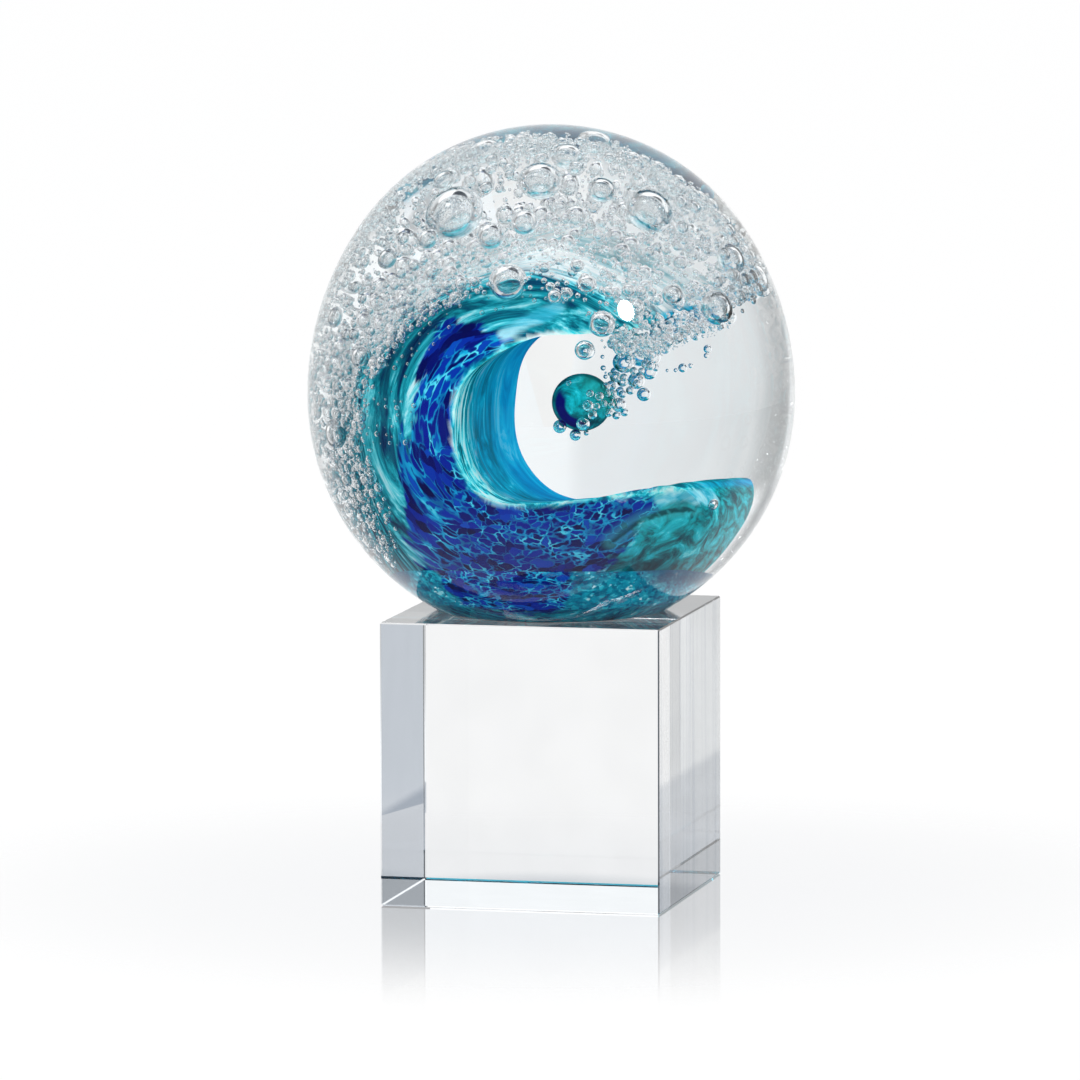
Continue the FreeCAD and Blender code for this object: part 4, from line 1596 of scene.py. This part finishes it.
@dataclass
class Studio:
    """Camera at the photograph's angle, white surround and soft light.

    Attributes:
        azimuth: Degrees from the front towards +X that the camera stands at.
        elevation: Degrees above the horizon that it stands at.
        roll: Degrees that it is rolled by.
        distance: Its distance from the point that it aims at, in metres.
        lens: Its focal length in millimetres.
        sensor: Width of its sensor in millimetres.
        sight: Nearest and furthest distance that it shows, in metres.
        aim_right: That point's place to the right as the camera sees it, in metres.
        aim_height: That point's height, in metres.
        ring: Light round the horizon as glass lets it through, over the turn in degrees from straight behind
            towards +X.
        lanes: Strips of floor behind the cube that its faces show: for the left and the right edge its place
            at the cube's back in millimetres and its turn towards +X in degrees, and then the colour.
        grey_cast: Tint of that light.
        ceiling: Light from above, seen through glass.
        air_gap: Gap between the cube's polished underside and the floor, in metres.
        white: Light of the surround as the camera sees it.
        dark: Light of the studio's front, which the glass mirrors.
        bright: Light high on the wall behind, which the bubbles gather.
        flag: Way towards a dark panel high on the right, which draws the bubbles' upper right edges.
        mirrored_rise: Lean to the back over which the mirrored light goes from dark to white.
        raised_rise: The same for the light high on the wall.
        flag_edge: Nearness to the flag over which it goes dark.
        raised_from: Heights over which the light high on the wall comes in.
        ceiling_from: Heights over which the ceiling does.
        floor_size: Half the floor's width in metres.
        paint: Colour of the floor's paint.
        gloss: Tint of its reflection.
        lit_share: Share of its own light in what the floor shows.
        shade_edge: Distances over which the shade under the cube ends, in metres.
        gloss_edge: Distances over which the reflection fades out, in metres.
        gloss_share: Most of that reflection.
        under: Light that the shaded floor under the cube gives off, seen through glass.
        lamp_distance: Distance of the lamps from the point that they face, in metres.
        lamp_aim: Height of that point, in metres.
        bounces: Most times that a path bends or bounces.
        soft: Light that falls on matt colour. The casing keeps near half of it from the colour inside, so it is
            over one for that colour to look as written.
    """

    azimuth: float = 13.338
    elevation: float = 6.715
    roll: float = -0.147
    distance: float = 2.10737
    lens: float = 332.105
    sensor: float = 36.0
    sight: tuple[float, float] = (0.1, 50.0)
    aim_right: float = -2.456 * MM
    aim_height: float = 74.701 * MM
    ring: Outline = (
        (-180.0, 0.56), (-142.0, 0.58), (-130.0, 0.74), (-96.0, 0.84), (-87.0, 0.84), (-83.0, 0.32),
        (-76.0, 0.30), (-65.0, 0.50), (-56.0, 0.74), (-45.0, 0.84), (-34.0, 0.88), (-18.0, 0.93),
        (-15.5, 1.04), (-8.0, 1.06), (10.0, 1.15), (12.5, 0.62), (15.5, 0.62), (18.0, 1.2), (50.0, 1.1),
        (80.0, 0.46), (100.0, 0.22), (164.0, 0.24), (180.0, 0.58),
    )
    lanes: tuple[tuple[float, float, float, float, Colour], ...] = (
        (-30.8, -14.2, 21.8, -12.4, (0.985, 0.985, 0.985)),
        (-31.0, 13.9, -19.5, 14.5, (0.555, 0.598, 0.655)),
    )
    grey_cast: Colour = (0.955, 0.98, 1.0)
    ceiling: Colour = (0.17, 0.25, 0.42)
    air_gap: float = 0.05 * MM
    white: Colour = (1.0, 1.0, 1.0)
    dark: Colour = (0.06, 0.07, 0.09)
    bright: Colour = (1.34, 1.35, 1.36)
    flag: tuple[float, float, float] = (0.66, 0.30, 0.69)
    mirrored_rise: tuple[float, float] = (0.15, 0.55)
    raised_rise: tuple[float, float] = (0.10, 0.42)
    flag_edge: tuple[float, float] = (0.66, 0.76)
    raised_from: tuple[float, float] = (0.26, 0.40)
    ceiling_from: tuple[float, float] = (0.84, 0.96)
    floor_size: float = 6.0
    paint: Colour = (0.57, 0.57, 0.576)
    gloss: Colour = (0.9, 0.91, 0.93)
    lit_share: float = 0.92
    shade_edge: tuple[float, float] = (0.028, 0.05)
    gloss_edge: tuple[float, float] = (0.035, 0.17)
    gloss_share: float = 0.62
    under: Colour = (0.22, 0.30, 0.36)
    lamp_distance: float = 1.2
    lamp_aim: float = 0.09
    bounces: int = 48
    soft: Colour = (1.70, 1.71, 1.73)

    def camera(self) -> None:
        """Makes the camera."""
        azimuth = math.radians(self.azimuth)
        right = Vector((math.cos(azimuth), math.sin(azimuth), 0.0))
        back = toward(self.azimuth, self.elevation)
        target = right * self.aim_right + Vector((0.0, 0.0, self.aim_height))
        data = bpy.data.cameras.new("camera")
        data.sensor_width = self.sensor
        data.lens = self.lens
        data.clip_start, data.clip_end = self.sight
        camera = bpy.data.objects.new("camera", data)
        camera.location = target + back * self.distance
        camera.rotation_mode = "QUATERNION"
        turned = (-back).to_track_quat("-Z", "Y")
        camera.rotation_quaternion = turned @ Quaternion((0, 0, 1), math.radians(self.roll))
        bpy.context.scene.collection.objects.link(camera)
        bpy.context.scene.camera = camera

    def surround(self, nodes: Nodes, way: NodeSocket) -> tuple[NodeSocket, ...]:
        """Light of the studio as glass shows it.

        Args:
            nodes: The tree that it goes into.
            way: Direction from the object.

        Returns:
            Colour sockets of the light that glass lets through near the horizon, of the light that it
            mirrors and of the light that it lets through higher up.
        """
        parts = nodes.parts(way)
        turn = nodes.math("ARCTAN2", parts["X"], parts["Y"])
        share = nodes.band(turn, -math.pi, math.pi, kind="LINEAR")
        greys = tuple(
            ((azimuth + 180) / 360, tuple(level * part for part in self.grey_cast))
            for azimuth, level in self.ring
        )
        through = nodes.ramp(share, greys)
        straight = nodes.vector("NORMALIZE", way)
        back = nodes.parts(straight)["Y"]
        near_flag = nodes.band(nodes.vector("DOT_PRODUCT", straight, self.flag), *self.flag_edge)
        mirrored = nodes.blend(nodes.band(back, *self.mirrored_rise), self.dark, self.white)
        raised = nodes.blend(nodes.band(back, *self.raised_rise), self.dark, self.bright)
        return through, mirrored, nodes.blend(near_flag, raised, self.dark)

    def world(self) -> None:
        """Makes the white surround, with a studio round it where glass bends or mirrors the view."""
        world = bpy.data.worlds.new("studio")
        bpy.context.scene.world = world
        world.use_nodes = True
        nodes = Nodes(world.node_tree)
        way = nodes.add("ShaderNodeTexCoord").outputs["Generated"]
        through, mirrored, raised = self.surround(nodes, way)
        height = nodes.parts(way)["Z"]
        through = nodes.blend(nodes.band(height, *self.raised_from), through, raised)
        through = nodes.blend(nodes.band(height, *self.ceiling_from), through, self.ceiling)
        path = nodes.add("ShaderNodeLightPath").outputs
        mirrored = nodes.blend(path["Is Singular Ray"], self.white, mirrored)
        light = nodes.blend(path["Is Transmission Ray"], mirrored, through)
        light = nodes.blend(nodes.math("GREATER_THAN", path["Diffuse Depth"], 0.5), light, self.soft)
        light = nodes.blend(path["Is Camera Ray"], light, self.white)
        glow = nodes.add("ShaderNodeBackground", {"Color": light, "Strength": 1.0})
        nodes.add("ShaderNodeOutputWorld", {"Surface": glow.outputs[0]})

    def lane(
        self, nodes: Nodes, place: NodeSocket, lane: tuple[float, float, float, float, Colour]
    ) -> NodeSocket:
        """Mask of one strip of floor behind the cube.

        Args:
            nodes: The tree that it goes into.
            place: Place on the floor.
            lane: The strip.

        Returns:
            One inside the strip.
        """
        left, left_way, right, right_way, _ = lane
        parts = nodes.parts(place)
        beyond = nodes.math("SUBTRACT", parts["Y"], HALF_CUBE)
        inside = nodes.math("GREATER_THAN", beyond, 0.0)
        for sign, edge, way in ((1.0, left, left_way), (-1.0, right, right_way)):
            drift = nodes.times(beyond, sign * math.tan(math.radians(way)))
            across = nodes.math("SUBTRACT", nodes.times(parts["X"], sign), drift)
            inside = nodes.times(inside, nodes.math("GREATER_THAN", across, sign * edge * MM))
        return inside

    def floor(self) -> None:
        """Makes the pale polished floor."""
        mesh = bmesh.new()
        bmesh.ops.create_grid(mesh, x_segments=1, y_segments=1, size=self.floor_size)
        bmesh.ops.translate(mesh, verts=mesh.verts, vec=(0.0, 0.0, -self.air_gap))
        data = bpy.data.meshes.new("floor")
        mesh.to_mesh(data)
        mesh.free()
        material, nodes = new_material("white acrylic floor")
        matte = nodes.add("ShaderNodeBsdfDiffuse", {"Color": rgba(self.paint)}).outputs[0]
        path = nodes.add("ShaderNodeLightPath").outputs
        place = nodes.place()
        through, mirrored, _ = self.surround(nodes, place)
        away = nodes.vector("LENGTH", place)
        for lane in reversed(self.lanes):
            through = nodes.blend(self.lane(nodes, place, lane), through, lane[-1])
        through = nodes.blend(nodes.band(away, *self.shade_edge), self.under, through)
        shown = nodes.blend(path["Is Glossy Ray"], self.white, mirrored)
        shown = nodes.blend(path["Is Transmission Ray"], shown, through)
        lift = nodes.add("ShaderNodeEmission", {"Color": shown, "Strength": 1.0}).outputs[0]
        bent = nodes.math("MAXIMUM", path["Is Transmission Ray"], path["Is Glossy Ray"])
        seen = nodes.math("MAXIMUM", path["Is Camera Ray"], bent)
        lit = nodes.times(seen, self.lit_share)
        base = nodes.add("ShaderNodeMixShader", {0: lit, 1: matte, 2: lift}).outputs[0]
        polish = {"Color": rgba(self.gloss), "Roughness": 0.02}
        gloss = nodes.add("ShaderNodeBsdfGlossy", polish).outputs[0]
        fade = nodes.band(away, *self.gloss_edge, self.gloss_share, 0.0)
        shader = nodes.add("ShaderNodeMixShader", {0: fade, 1: base, 2: gloss}).outputs[0]
        nodes.surface(shader)
        data.materials.append(material)
        floor = bpy.data.objects.new("floor", data)
        bpy.context.scene.collection.objects.link(floor)

    def lamp(
        self, name: str, azimuth: float, elevation: float, size: float, power: float, mirrored: bool
    ) -> None:
        """Makes a soft area lamp that faces the globe.

        Args:
            name: The lamp's name.
            azimuth: Degrees from the front towards +X.
            elevation: Degrees above the horizon.
            size: Its width in metres.
            power: Its power in watts.
            mirrored: Whether the glass shows its reflection.
        """
        data = bpy.data.lights.new(name, "AREA")
        data.shape = "DISK"
        data.size = size
        data.energy = power
        lamp = bpy.data.objects.new(name, data)
        way = toward(azimuth, elevation)
        lamp.location = way * self.lamp_distance + Vector((0, 0, self.lamp_aim))
        lamp.rotation_mode = "QUATERNION"
        lamp.rotation_quaternion = (-way).to_track_quat("-Z", "Y")
        lamp.visible_glossy = mirrored
        bpy.context.scene.collection.objects.link(lamp)

    def build(self) -> None:
        """Makes everything round the object."""
        self.camera()
        self.world()
        self.floor()
        self.lamp("key softbox", azimuth=-40.0, elevation=50.0, size=0.6, power=6.0, mirrored=False)
        self.lamp("round lamp", azimuth=54.3, elevation=33.1, size=0.165, power=2.2, mirrored=True)
        scene = bpy.context.scene
        scene.view_settings.view_transform = "Standard"
        scene.cycles.max_bounces = self.bounces
        scene.cycles.transmission_bounces = self.bounces
        scene.cycles.transparent_max_bounces = self.bounces // 2


def main() -> None:
    """Builds the sculpture in order."""
    logging.basicConfig(level=logging.INFO, format="%(name)s: %(message)s")
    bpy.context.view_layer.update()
    globe = GlobeFrame()
    Studio().build()
    CrystalStand().build()
    ClearGlobe(globe).build()
    Wave(globe).build()
    Foam(globe).build()
    Curl().build()


if __name__ == "__main__":
    main()
